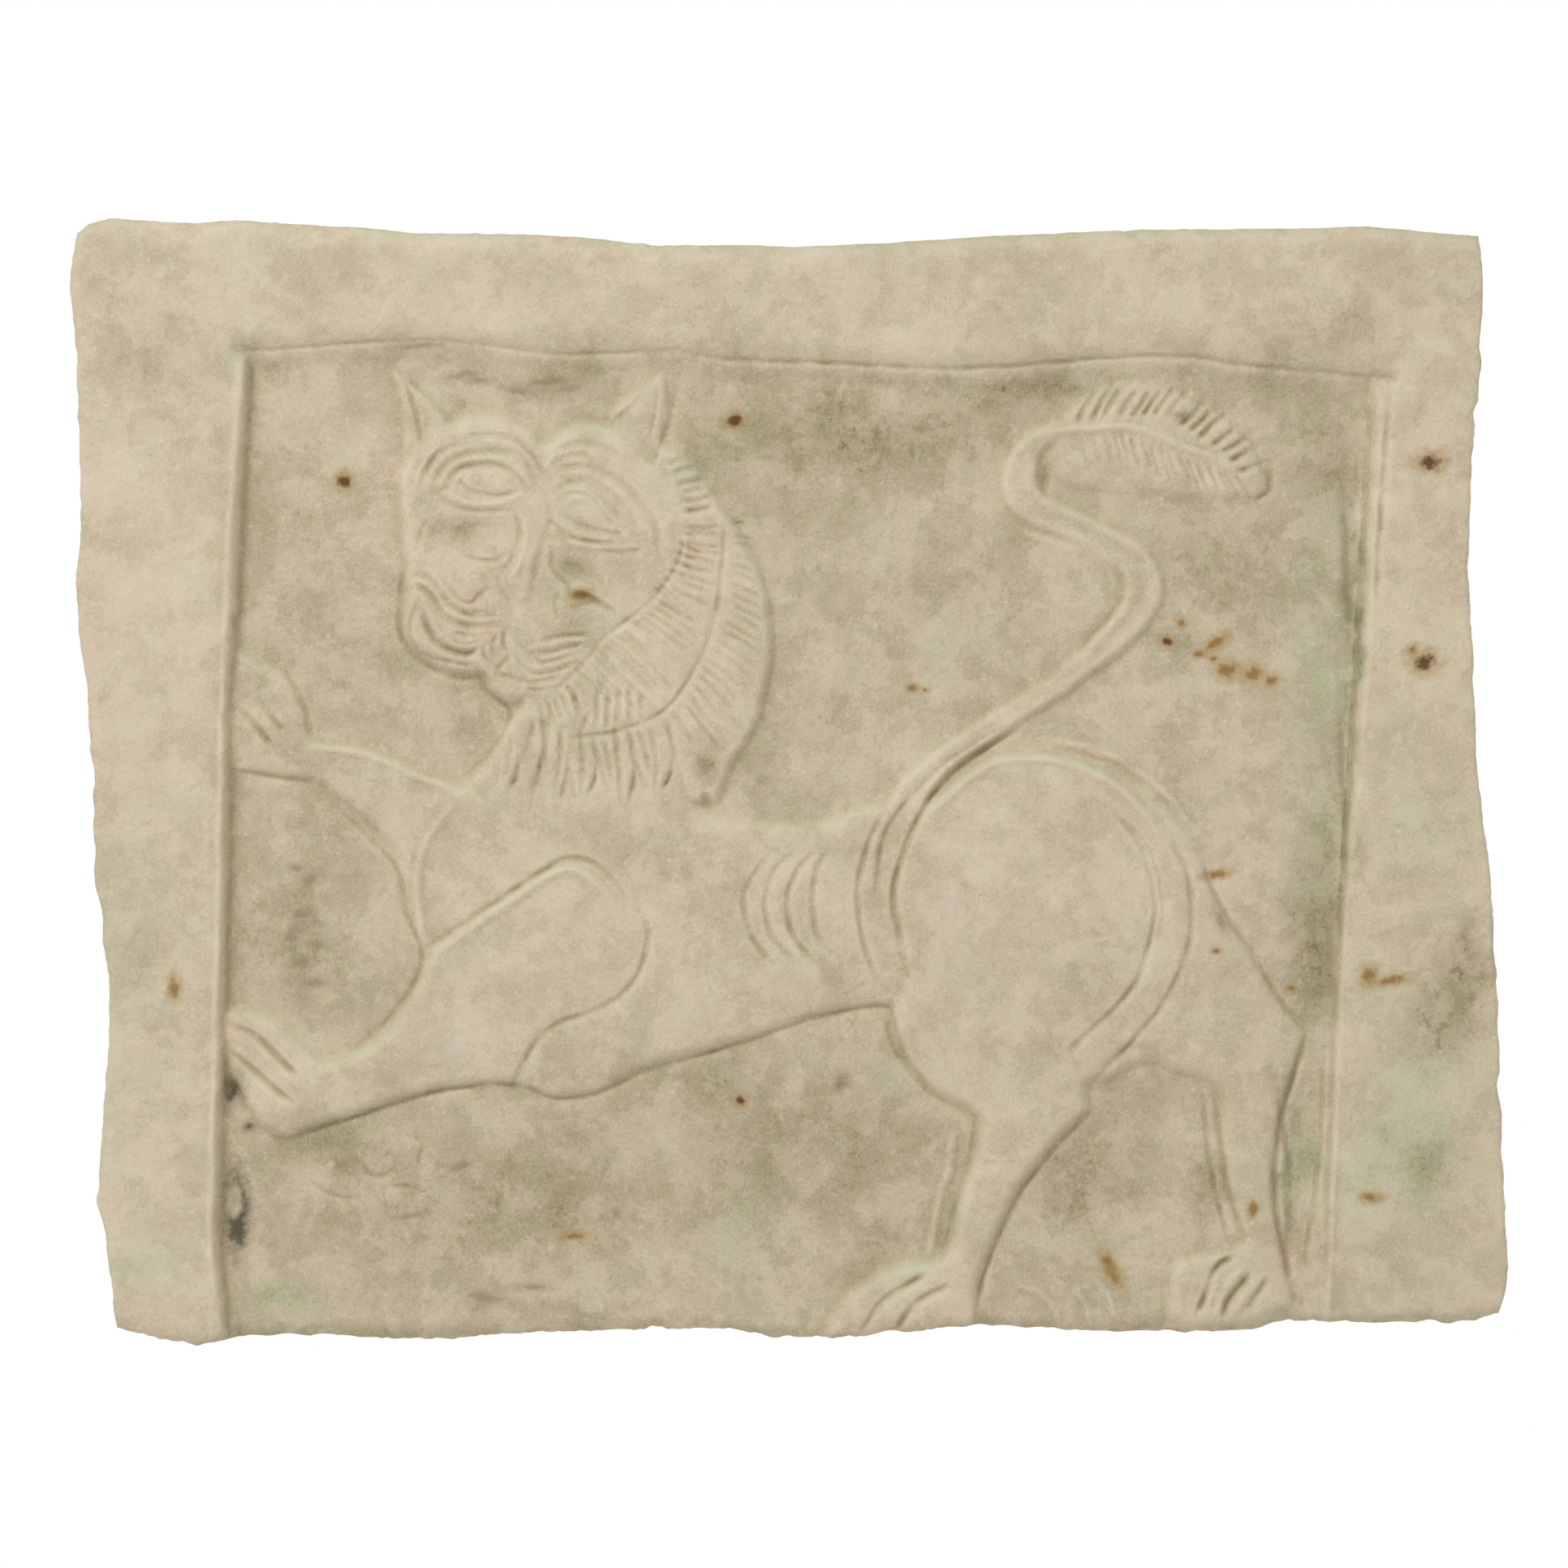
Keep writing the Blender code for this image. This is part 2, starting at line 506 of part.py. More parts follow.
def stone():
    material = bpy.data.materials.new("Stone")
    material.use_nodes = True
    shader = material.node_tree.nodes["Principled BSDF"]
    shader.inputs["Base Color"].default_value = STONE_COLOUR
    shader.inputs["Roughness"].default_value = STONE_ROUGHNESS
    shader.inputs["Metallic"].default_value = 0.0
    return material


def thinned(vertices, faces, triangles):
    """The sampled surface as a mesh, with edges merged where it is flat until the triangle count is met."""
    mesh = bpy.data.meshes.new("sampled_surface")
    mesh.from_pydata(vertices.tolist(), [], faces.tolist())
    sampled = bpy.data.objects.new("sampled_surface", mesh)
    bpy.context.scene.collection.objects.link(sampled)
    merge = sampled.modifiers.new("Merge flat stretches", "DECIMATE")
    merge.ratio = triangles / (2 * len(faces))
    bpy.context.view_layer.update()
    thin = bpy.data.meshes.new_from_object(sampled.evaluated_get(bpy.context.evaluated_depsgraph_get()))
    bpy.data.objects.remove(sampled)
    return thin


def close_back(mesh):
    """Fills the open back with one flat face on the plane y = 0 and turns every face outward."""
    shell = bmesh.new()
    shell.from_mesh(mesh)
    open_edges = [edge for edge in shell.edges if edge.is_boundary]
    for vertex in {vertex for edge in open_edges for vertex in edge.verts}:
        vertex.co.y = 0.0
    bmesh.ops.holes_fill(shell, edges=open_edges, sides=0)
    bmesh.ops.triangulate(shell, faces=shell.faces)
    bmesh.ops.recalc_face_normals(shell, faces=shell.faces)
    shell.to_mesh(mesh)
    shell.free()


def main():
    for old in list(bpy.data.objects):
        bpy.data.objects.remove(old)
    mesh = thinned(*sampled_shell(), TRIANGLES)
    close_back(mesh)
    mesh.name = "relief_slab"
    mesh.materials.append(stone())
    slab = bpy.data.objects.new("relief_slab", mesh)
    bpy.context.scene.collection.objects.link(slab)


main()
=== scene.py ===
"""The finished look of a stone wall slab that is carved in low relief with a walking lion.

One piece replaces the plain solid: a height function is drawn over the face from outlines and cut lines,
sampled on a fine grid, thinned where the stone is plain and given a weathered limestone finish,
with some painted shade and painted highlights in its colour.
The drawing is kept in the pixels of a picture 1932 pixels wide, x to the right and y down.
"""
import math

import bmesh
import bpy
import numpy as np
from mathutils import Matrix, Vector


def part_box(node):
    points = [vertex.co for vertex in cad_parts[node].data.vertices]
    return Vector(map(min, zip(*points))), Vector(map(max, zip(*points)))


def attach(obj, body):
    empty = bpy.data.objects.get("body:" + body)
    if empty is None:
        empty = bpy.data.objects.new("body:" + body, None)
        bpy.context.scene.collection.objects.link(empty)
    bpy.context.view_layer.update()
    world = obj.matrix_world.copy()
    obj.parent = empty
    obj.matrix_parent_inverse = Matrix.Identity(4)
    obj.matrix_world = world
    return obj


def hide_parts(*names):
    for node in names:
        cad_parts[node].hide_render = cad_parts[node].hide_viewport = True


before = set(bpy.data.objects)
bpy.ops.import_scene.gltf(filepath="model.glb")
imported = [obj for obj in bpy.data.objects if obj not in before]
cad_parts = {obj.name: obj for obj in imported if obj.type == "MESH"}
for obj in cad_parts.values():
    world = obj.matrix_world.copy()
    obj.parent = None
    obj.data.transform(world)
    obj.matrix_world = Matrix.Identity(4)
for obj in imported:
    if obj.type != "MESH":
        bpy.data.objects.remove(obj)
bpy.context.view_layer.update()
low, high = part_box("relief_slab")

# Places and sizes from the frame, in metres, and how the carving shares out the slab's thickness
WIDTH = high[0] - low[0]
HEIGHT = high[2] - low[2]
THICKNESS = 0.060
PANEL_DEPTH = 0.0075
LEFT_BORDER = 0.0693
RIGHT_BORDER = 0.0659
TOP_BORDER = 0.0615
DRAWN_COLUMNS = (85, 290, 1665, 1859)
DRAWN_ROWS = (268, 450, 1660)
DRAWN_MIDDLE = (972, 964)
PIXEL = (WIDTH - LEFT_BORDER - RIGHT_BORDER) / (DRAWN_COLUMNS[2] - DRAWN_COLUMNS[1])

# Widths of the panel's walls, how they curve, and width and depth of the worn edges
LEFT_WALL = 0.0028
TOP_WALL = 0.0100
RIGHT_WALL = 0.0110
STEEP_CURVE = 1.4
SOFT_CURVE = 2.0
TOP_LIP = 0.0110
LIP_DROP = 0.0036
TOP_WEAR = (0.0070, 0.0034)
SIDE_WEAR = (0.0022, 0.0008)
FOOT_WEAR = (0.0080, 0.0028)

# Heights over the panel's ground, rounded edges and the swell of broad parts
FAR_LEG_RISE = 0.0030
BODY_RISE = 0.0031
TAIL_RISE = 0.0032
TUFT_RISE = 0.0026
NEAR_LEG_RISE = 0.0044
HAUNCH_RISE = 0.0048
MANE_RISE = 0.0044
FRINGE_RISE = 0.0052
EAR_RISE = 0.0022
HEAD_RISE = 0.0048
NARROW_SHOULDER = 0.0030
MANE_SHOULDER = 0.0044
FRINGE_SHOULDER = 0.0022
BROAD_SHOULDER = 0.0056
SWELL = 0.0013
SWELL_REACH = 0.040

# Kinds of cut line: width, depth, and the share of the depth that is lost towards the line's end
HAIR_CUT = (0.0028, 0.0009, 0.3)
FINE_CUT = (0.0032, 0.0010, 0.0)
LOCK_CUT = (0.0036, 0.0013, 0.5)
NOTCH_CUT = (0.0030, 0.0012, 0.0)
PLAIN_CUT = (0.0040, 0.0014, 0.0)
SOFT_CUT = (0.0050, 0.0012, 0.0)
TUFT_CUT = (0.0040, 0.0018, 0.3)
SEAT_CUT = (0.0034, 0.0010, 0.0)
DEEP_CUT = (0.0044, 0.0019, 0.0)
BROAD_CUT = (0.0085, 0.0007, 0.0)
RIDGE = (0.0060, -0.0013, 0.0)
THIN_RIDGE = (0.0038, -0.0008, 0.0)
RUN_OUT = 0.12
UNEVEN_CUT = 0.5

# Sampling of the face and of the sides, and the triangles that are kept
SAMPLE_SPACING = 0.00062
SIDE_RINGS = 44
TRIANGLES = 186000
EDGE_PASSES = 6
SHARP_ANGLE = math.radians(42.0)

TOP_EDGE = (
    (93, 287), (108, 274), (134, 267), (190, 271), (243, 274), (292, 270), (350, 274), (450, 280),
    (515, 287), (600, 286), (720, 291), (775, 298), (990, 303), (1100, 298), (1236, 289), (1413, 282),
    (1611, 280), (1687, 278), (1824, 290),
)
BOTTOM_EDGE = (
    (142, 1638), (195, 1651), (244, 1660), (300, 1650), (399, 1649), (525, 1655), (595, 1649), (700, 1643),
    (899, 1641), (948, 1651), (1014, 1652), (1098, 1646), (1210, 1635), (1370, 1645), (1546, 1642),
    (1590, 1630), (1640, 1630), (1785, 1633), (1847, 1625),
)
LEFT_EDGE = (
    (93, 287), (84, 350), (93, 430), (96, 560), (99, 650), (92, 709), (96, 780), (107, 850), (106, 925),
    (114, 952), (114, 1068), (129, 1184), (134, 1260), (123, 1418), (117, 1475), (128, 1516), (142, 1638),
)
RIGHT_EDGE = (
    (1824, 290), (1828, 330), (1826, 455), (1816, 556), (1810, 700), (1816, 808), (1821, 947),
    (1839, 1086), (1846, 1224), (1853, 1424), (1859, 1561), (1856, 1590), (1847, 1625),
)

# The upper edge of the panel's wall; the panel runs out through the foot of the slab
PANEL_LEFT = ((276, 1660), (264, 1520), (271, 1291), (276, 1068), (281, 865), (290, 686), (303, 432))
PANEL_TOP = (
    (303, 432), (506, 419), (587, 424), (685, 436), (829, 432), (901, 443), (1088, 450), (1182, 455),
    (1363, 441), (1468, 440), (1536, 450), (1628, 458), (1712, 466),
)
PANEL_RIGHT = (
    (1712, 466), (1702, 640), (1691, 829), (1676, 1023), (1658, 1202), (1650, 1380), (1637, 1573),
    (1630, 1660),
)

# Outlines of the lion's parts, from the ones that lie lowest to the ones on top
FAR_FORELEG = (
    (283, 803), (320, 812), (350, 826), (372, 866), (386, 908), (445, 918), (520, 950), (575, 975),
    (620, 1060), (600, 1140), (520, 1178), (500, 1130), (488, 1062), (460, 1022), (400, 972), (330, 954),
    (280, 945),
)
FAR_HIND_LEG = (
    (1300, 930), (1380, 950), (1440, 988), (1472, 1030), (1490, 1075), (1505, 1120), (1540, 1170),
    (1575, 1230), (1612, 1273), (1600, 1310), (1583, 1370), (1573, 1430), (1573, 1480), (1580, 1530),
    (1597, 1603), (1560, 1625), (1440, 1680), (1437, 1600), (1450, 1553), (1500, 1541), (1533, 1524),
    (1512, 1460), (1503, 1400), (1500, 1343), (1450, 1322), (1415, 1311), (1345, 1333), (1250, 1250),
    (1240, 1000),
)
BODY = (
    (640, 880), (585, 950), (545, 990), (515, 1045), (507, 1095), (512, 1140), (535, 1200), (600, 1290),
    (632, 1337), (685, 1353), (740, 1345), (800, 1317), (900, 1290), (1000, 1255), (1092, 1240), (1230, 1240),
    (1250, 1000), (1090, 988), (1010, 1010), (930, 1009), (865, 988), (800, 860),
)
NEAR_FORELEG = (
    (527, 1170), (600, 1121), (680, 1068), (712, 1060), (740, 1072), (769, 1108), (797, 1150), (790, 1190),
    (760, 1230), (690, 1259), (655, 1290), (632, 1336), (560, 1340), (500, 1355), (400, 1388), (345, 1405),
    (305, 1372), (277, 1320), (274, 1246), (337, 1253), (395, 1302), (440, 1292), (480, 1258), (512, 1210),
)
TAIL_STEM = (
    (1097, 1236), (1078, 1195), (1063, 1155), (1057, 1100), (1067, 1040), (1088, 995), (1112, 958),
    (1191, 898), (1280, 842), (1330, 803), (1365, 765), (1384, 735), (1378, 705), (1335, 675), (1262, 644),
    (1238, 620), (1232, 592), (1240, 562), (1268, 533), (1305, 515), (1318, 540), (1290, 553), (1281, 580),
    (1290, 606), (1340, 633), (1400, 663), (1430, 695), (1437, 728), (1425, 760), (1395, 795), (1325, 849),
    (1236, 907), (1191, 938), (1146, 987), (1118, 1035), (1105, 1090), (1108, 1140), (1121, 1205),
)
TAIL_TUFT = (
    (1298, 560), (1300, 525), (1325, 495), (1350, 476), (1385, 467), (1420, 469), (1460, 485), (1505, 509),
    (1535, 535), (1557, 570), (1565, 600), (1545, 615), (1470, 614), (1380, 607), (1310, 596),
)
HAUNCH = (
    (1095, 1242), (1106, 1285), (1122, 1318), (1150, 1348), (1203, 1378), (1196, 1430), (1180, 1480),
    (1163, 1548), (1110, 1556), (1062, 1580), (1035, 1605), (1015, 1680), (1200, 1680), (1206, 1592),
    (1228, 1528), (1262, 1462), (1300, 1412), (1343, 1370), (1345, 1333), (1410, 1277), (1447, 1228),
    (1466, 1175), (1470, 1115), (1458, 1060), (1430, 1010), (1395, 970), (1345, 941), (1290, 925),
    (1240, 925), (1196, 943), (1152, 987), (1122, 1040), (1109, 1095), (1111, 1145), (1120, 1200),
)
MANE_BACK = (
    (800, 552), (824, 549), (848, 562), (870, 590), (898, 632), (922, 670), (944, 718), (953, 772),
    (953, 812), (945, 858), (930, 903), (905, 943), (886, 988),
)
MANE_FRINGE = (
    (868, 985), (848, 984), (827, 950), (803, 990), (781, 964), (763, 1014), (735, 958), (712, 998),
    (698, 960),
    (679, 1010), (665, 956), (649, 986), (637, 956), (620, 978), (614, 950),
)
FRINGE_ROOT = ((622, 905), (636, 884), (700, 876), (790, 880), (850, 906))
MANE_FRONT = ((605, 930), (625, 900), (634, 872), (700, 800), (760, 700))
HEAD = (
    (503, 562), (490, 585), (487, 625), (494, 685), (496, 722), (493, 765), (502, 797), (530, 819),
    (560, 832), (591, 832), (600, 853), (632, 868), (668, 862), (694, 842), (716, 814), (738, 790),
    (770, 765), (803, 738), (831, 705), (839, 670), (831, 630), (816, 592), (800, 560), (770, 530),
    (738, 518), (702, 521), (674, 543), (655, 527), (620, 510), (580, 509), (548, 520), (522, 540),
)
LEFT_EAR = ((482, 455), (503, 468), (547, 508), (555, 535), (515, 565), (498, 572), (490, 500))
RIGHT_EAR = ((819, 458), (822, 500), (815, 545), (804, 575), (770, 540), (747, 513), (772, 490), (798, 470))

# Cut lines of the brows and cheeks, which are broad and soft
BROW_CUTS = (
    ((519, 602), (524, 582), (536, 563), (555, 549), (580, 541), (610, 538), (634, 544), (652, 558),
     (668, 580)),
    ((532, 604), (538, 588), (552, 571), (572, 561), (600, 557), (626, 558), (644, 568), (656, 584),
     (662, 602)),
    ((504, 606), (508, 584), (519, 565)),
    ((553, 586), (572, 577), (600, 574), (622, 577), (642, 590), (652, 608)),
    ((684, 556), (705, 548), (724, 547), (747, 553), (768, 566)),
    ((676, 592), (683, 580), (702, 575), (730, 576), (757, 589), (779, 606), (797, 630), (809, 657),
     (814, 692)),
    ((700, 592), (720, 591), (746, 603), (766, 621), (779, 641), (782, 657)),
    ((506, 712), (520, 709), (533, 716), (543, 731), (555, 746), (578, 756), (604, 755)),
    ((503, 729), (512, 722), (524, 726), (535, 739), (545, 756), (562, 768), (590, 773), (616, 768)),
    ((674, 610), (677, 640), (669, 668), (661, 695), (655, 738)),
    ((678, 578), (688, 568), (706, 562), (728, 561)),
    ((684, 604), (698, 598), (720, 598), (742, 610), (762, 630), (776, 652)),
)

# Sharper lines of the eyes, the nose, the lips and the whiskers
FACE_CUTS = (
    ((565, 594), (578, 584), (600, 580), (619, 586), (633, 598), (640, 604)),
    ((567, 596), (582, 606), (600, 611), (620, 611), (634, 606)),
    ((540, 608), (555, 620), (573, 627), (600, 630), (636, 629)),
    ((634, 629), (641, 652), (638, 672), (629, 692), (617, 704)),
    ((614, 708), (618, 727), (630, 743)),
    ((690, 614), (700, 607), (717, 608), (736, 619), (753, 639), (766, 650)),
    ((696, 634), (711, 645), (735, 652), (764, 658)),
    ((740, 679), (766, 681), (791, 677)),
    ((680, 676), (681, 700), (698, 719), (706, 732)),
    ((556, 670), (575, 686), (600, 691), (619, 688)),
    ((542, 710), (556, 728), (568, 741), (580, 744), (590, 734), (603, 723)),
    ((514, 745), (506, 764), (506, 786), (520, 803), (545, 814), (590, 820)),
    ((612, 828), (632, 836), (660, 840), (692, 832)),
    ((612, 824), (620, 817), (629, 807)),
    ((668, 788), (696, 783), (724, 783)),
    ((664, 805), (690, 801), (716, 795)),
    ((664, 818), (690, 813), (714, 806)),
    ((660, 831), (684, 827), (706, 819)),
)
WHISKER_CUTS = (
    ((632, 804), (644, 820), (664, 832)),
    ((642, 796), (656, 808), (676, 822)),
    ((600, 790), (596, 802), (600, 814)),
    ((611, 782), (607, 797), (612, 808)),
    ((622, 778), (621, 792), (626, 804)),
    ((650, 848), (670, 850), (692, 845)),
    ((560, 778), (582, 783), (606, 779)),
    ((566, 756), (590, 761), (618, 757)),
    ((558, 789), (576, 793), (594, 789)),
    ((552, 600), (542, 604), (534, 611)),
    ((700, 661), (730, 667), (758, 667)),
    ((526, 641), (519, 655), (516, 672)),
    ((688, 731), (684, 745), (687, 762)),
    ((676, 642), (688, 650), (696, 662)),
)
DEEP_CUTS = (
    ((522, 762), (530, 780), (543, 795), (560, 802), (578, 804), (592, 797)),
    ((705, 733), (728, 737), (754, 753)),
    ((1612, 1275), (1600, 1310), (1583, 1370), (1573, 1430), (1573, 1480), (1580, 1530), (1598, 1600)),
    ((1252, 900), (1190, 938), (1150, 979), (1121, 1032), (1106, 1076), (1102, 1106), (1108, 1150),
     (1119, 1202)),
)
PUPILS = ((588, 593, 5), (764, 652, 4))
EAR_CUTS = (
    ((502, 474), (512, 510), (518, 545)),
    ((811, 482), (806, 515), (797, 548)),
    ((790, 486), (772, 506), (757, 520)),
)

# Soft swellings and hollows: middle, half length, half width, turn in degrees and rise
SOFT_FORMS = (
    ((600, 594), 40, 16, 4, 0.0009),
    ((574, 656), 46, 26, -8, -0.0017),
    ((580, 714), 28, 24, 0, 0.0013),
    ((648, 700), 72, 18, 97, 0.0014),
    ((724, 632), 44, 18, 28, 0.0009),
    ((712, 710), 38, 22, 28, -0.0018),
    ((690, 765), 48, 22, -5, 0.0012),
    ((645, 850), 38, 14, 0, 0.0010),
    ((668, 570), 44, 12, 90, -0.0014),
    ((536, 800), 40, 12, 28, 0.0010),
)

# The mane's locks: each row of strokes runs from its inner to its outer curve, with a number and a cut
MANE_ROWS = (
    (((822, 570), (836, 600), (845, 636)), ((850, 560), (872, 592), (888, 630)), 6, PLAIN_CUT),
    (((843, 643), (842, 668), (836, 696), (820, 724)), ((894, 640), (892, 690), (886, 726), (876, 752)),
     9, LOCK_CUT),
    (((812, 734), (794, 752), (774, 769)), ((876, 768), (858, 796), (826, 806)), 5, LOCK_CUT),
    (((768, 772), (746, 789), (726, 806), (704, 824)), ((846, 846), (820, 866), (790, 878), (764, 880)),
     9, LOCK_CUT),
    (((698, 836), (690, 850), (660, 872)), ((722, 876), (700, 890), (664, 900)), 5, LOCK_CUT),
    (((902, 640), (902, 700), (892, 766), (872, 816), (838, 868)),
     ((922, 640), (940, 715), (944, 790), (930, 850), (884, 930)), 20, HAIR_CUT),
    (((838, 640), (830, 690), (800, 730)), ((866, 650), (862, 700), (828, 752)), 9, HAIR_CUT),
)
MANE_ARC = (
    (892, 646), (889, 700), (884, 745), (876, 780), (862, 812), (846, 842), (824, 870), (794, 890),
    (745, 904),
)
STROKE_START = 0.02
STROKE_END = 0.98
STROKE_SCATTER = 3.0

# Lines along the pointed locks of the fringe, each from its root to its tip
FRINGE_CUTS = (
    ((632, 900), (625, 940), (621, 966)), ((656, 892), (648, 925), (630, 958)),
    ((668, 890), (669, 930), (656, 966)),
    ((690, 898), (691, 940), (682, 992)), ((676, 880), (672, 920), (671, 950)),
    ((698, 928), (705, 962), (711, 988)),
    ((716, 905), (719, 945), (716, 984)), ((731, 912), (742, 950), (757, 992)),
    ((757, 898), (764, 952), (767, 998)),
    ((775, 905), (785, 945), (800, 980)), ((800, 898), (809, 940), (806, 978)),
    ((822, 892), (833, 938), (842, 974)),
    ((745, 915), (752, 940), (756, 966)), ((788, 905), (797, 930), (803, 952)),
    ((830, 880), (846, 904), (858, 918)),
    ((708, 858), (711, 872), (710, 884)), ((723, 884), (719, 894), (715, 905)),
    ((737, 850), (736, 872), (734, 896)),
    ((750, 858), (749, 880), (747, 900)), ((763, 850), (762, 872), (761, 892)),
    ((776, 850), (777, 872), (777, 894)),
    ((790, 858), (792, 875), (793, 890)), ((705, 908), (732, 906), (760, 903)),
)

# Cut lines of the body
RIB_CUTS = (
    ((950, 1053), (929, 1077), (916, 1110), (926, 1152), (952, 1190)),
    ((975, 1053), (954, 1074), (943, 1110), (952, 1152), (980, 1188)),
    ((1000, 1052), (982, 1076), (970, 1112), (977, 1152), (1006, 1187)),
    ((1016, 1053), (1005, 1077), (1001, 1112), (1008, 1152), (1030, 1181)),
)
RUMP_CUTS = (
    ((1365, 993), (1398, 1028), (1419, 1076), (1424, 1128), (1412, 1180), (1390, 1225), (1322, 1292)),
    ((1448, 1040), (1466, 1085), (1470, 1130), (1459, 1185), (1425, 1250), (1350, 1330)),
)
RUMP_FINE_CUTS = (
    ((1395, 1015), (1422, 1060), (1433, 1110), (1428, 1160)),
    ((1098, 1232), (1107, 1275), (1124, 1315), (1152, 1346)),
    ((1240, 895), (1180, 930), (1130, 975), (1100, 1010), (1085, 1050), (1080, 1100)),
)
TAIL_LINE = ((1090, 997), (1069, 1045), (1058, 1095), (1060, 1140), (1074, 1188), (1093, 1222))
SHOULDER_CUTS = (
    ((527, 1168), (600, 1119), (680, 1066), (712, 1058), (742, 1070), (772, 1108)),
    ((795, 1132), (798, 1160), (783, 1206), (745, 1240), (690, 1260), (655, 1291), (632, 1336)),
)
TOE_CUTS = (
    ((282, 1262), (312, 1276), (332, 1293), (368, 1328)),
    ((285, 1298), (312, 1318), (356, 1357)),
    ((298, 876), (316, 896), (331, 917)),
    ((318, 860), (334, 884), (350, 902)),
    ((1522, 1548), (1500, 1562), (1486, 1598), (1475, 1622)),
    ((1540, 1572), (1516, 1600), (1508, 1622)),
    ((1563, 1578), (1547, 1600), (1540, 1614)),
    ((1142, 1570), (1092, 1600), (1062, 1640)),
    ((1168, 1585), (1130, 1604), (1104, 1640)),
)

# Raised lines: the tuft's rib, the top of the far foreleg, the back behind the tail, the haunch's upper edge
RIDGES = (
    ((1286, 538), (1312, 530), (1350, 527), (1390, 527), (1420, 533), (1450, 545), (1475, 556), (1520, 574)),
    ((388, 920), (450, 930), (520, 957), (572, 982)),
    ((1300, 914), (1350, 924), (1400, 947), (1445, 986), (1478, 1036)),
    ((1150, 1002), (1196, 957), (1240, 936), (1290, 935), (1345, 951), (1392, 979), (1425, 1020)),
    ((1262, 655), (1300, 668), (1340, 680), (1368, 698), (1376, 724)),
    ((542, 1172), (612, 1122), (690, 1073), (730, 1082), (760, 1120)),
    ((562, 985), (526, 1035), (513, 1085), (518, 1140), (530, 1170)),
    ((1176, 1400), (1170, 1440), (1156, 1490), (1146, 1545)),
    ((296, 440), (284, 640), (275, 860), (270, 1070), (265, 1290), (259, 1500), (262, 1650)),
    ((1534, 1562), (1512, 1588), (1499, 1622)),
    ((1552, 1578), (1530, 1604), (1522, 1622)),
    ((1700, 475), (1694, 640), (1684, 830), (1668, 1023), (1652, 1202), (1644, 1380), (1637, 1573),
     (1633, 1650)),
)
THIN_RIDGES = (
    ((556, 602), (572, 586), (598, 580), (620, 586), (636, 603)),
    ((544, 603), (562, 615), (590, 622), (620, 621), (642, 610)),
    ((694, 624), (712, 612), (734, 618), (754, 638), (772, 662)),
    ((688, 640), (706, 655), (732, 662), (768, 668)),
    ((512, 600), (520, 575), (536, 556), (562, 545), (600, 541), (636, 550), (662, 574)),
    ((540, 596), (556, 578), (584, 566), (612, 566), (640, 582), (652, 600)),
    ((520, 744), (530, 756), (540, 776), (556, 790), (580, 794)),
    ((510, 722), (526, 720), (540, 732), (552, 752), (580, 764), (612, 762)),
    ((650, 800), (676, 794), (700, 790), (724, 788)),
    ((656, 822), (684, 818), (716, 806)),
    ((700, 668), (736, 674), (786, 672)),
    ((648, 640), (650, 664), (640, 694), (628, 716)),
    ((1255, 1585), (1280, 1592), (1300, 1612), (1308, 1640)),
    ((1300, 1578), (1326, 1592), (1340, 1612), (1344, 1636)),
    ((1350, 1580), (1366, 1596), (1374, 1620)),
)
TAIL_GROOVE = (
    (1305, 530), (1275, 548), (1258, 575), (1262, 605), (1285, 630), (1345, 655), (1390, 682), (1410, 715),
    (1404, 747), (1378, 778), (1328, 820), (1262, 866), (1200, 908), (1150, 948), (1118, 988), (1092, 1036),
    (1081, 1096), (1086, 1150), (1100, 1212),
)

# Strokes of the tuft: roots along the rib, the first and the last one's run across and up, a number and a cut
TUFT_ROWS = (
    (((1322, 520), (1360, 513), (1395, 515), (1430, 513), (1462, 526), (1492, 546), (1516, 566), (1536, 588)),
     (27, -46), (40, -10), 15, TUFT_CUT),
    (((1330, 540), (1366, 536), (1400, 540), (1440, 556), (1490, 576), (1530, 588)),
     (10, 40), (20, 32), 17, HAIR_CUT),
)

# Narrow cuts at the foot of raised parts, where the chisel went in deepest
SEAT_CUTS = (
    ((345, 1405), (400, 1388), (500, 1355), (560, 1340), (632, 1336), (685, 1354), (740, 1346), (800, 1318)),
    ((800, 1318), (900, 1290), (1000, 1255), (1092, 1240), (1096, 1275), (1122, 1320), (1150, 1350),
     (1188, 1372)),
    ((1345, 1372), (1300, 1415), (1262, 1466), (1228, 1532), (1208, 1590), (1202, 1640)),
    ((1632, 1290), (1630, 1380), (1622, 1470), (1608, 1570)),
    ((1203, 1378), (1196, 1430), (1180, 1480), (1163, 1546)),
    ((1484, 1345), (1489, 1404), (1498, 1462), (1516, 1530)),
    ((402, 984), (456, 1034), (490, 1074), (502, 1130), (519, 1174), (512, 1208), (478, 1256), (438, 1292)),
    ((350, 826), (366, 852), (376, 880), (382, 912)),
    ((285, 950), (335, 956), (384, 964)),
    ((497, 700), (491, 740), (492, 775), (502, 802), (530, 822), (556, 835), (590, 834)),
    ((590, 838), (604, 856), (625, 871), (627, 888), (612, 914), (596, 936), (578, 954)),
    ((839, 655), (840, 676), (828, 708), (804, 737), (776, 762), (742, 788), (724, 812), (700, 836),
     (678, 858)),
    ((1484, 1062), (1508, 1122), (1543, 1172), (1580, 1236), (1610, 1272)),
    ((1500, 1348), (1504, 1400), (1513, 1460), (1533, 1524)),
    ((1384, 735), (1365, 765), (1330, 803)),
    ((1560, 572), (1569, 600), (1548, 616)),
    ((834, 466), (829, 500), (820, 535), (804, 574)),
    ((504, 470), (530, 490), (550, 512)),
)

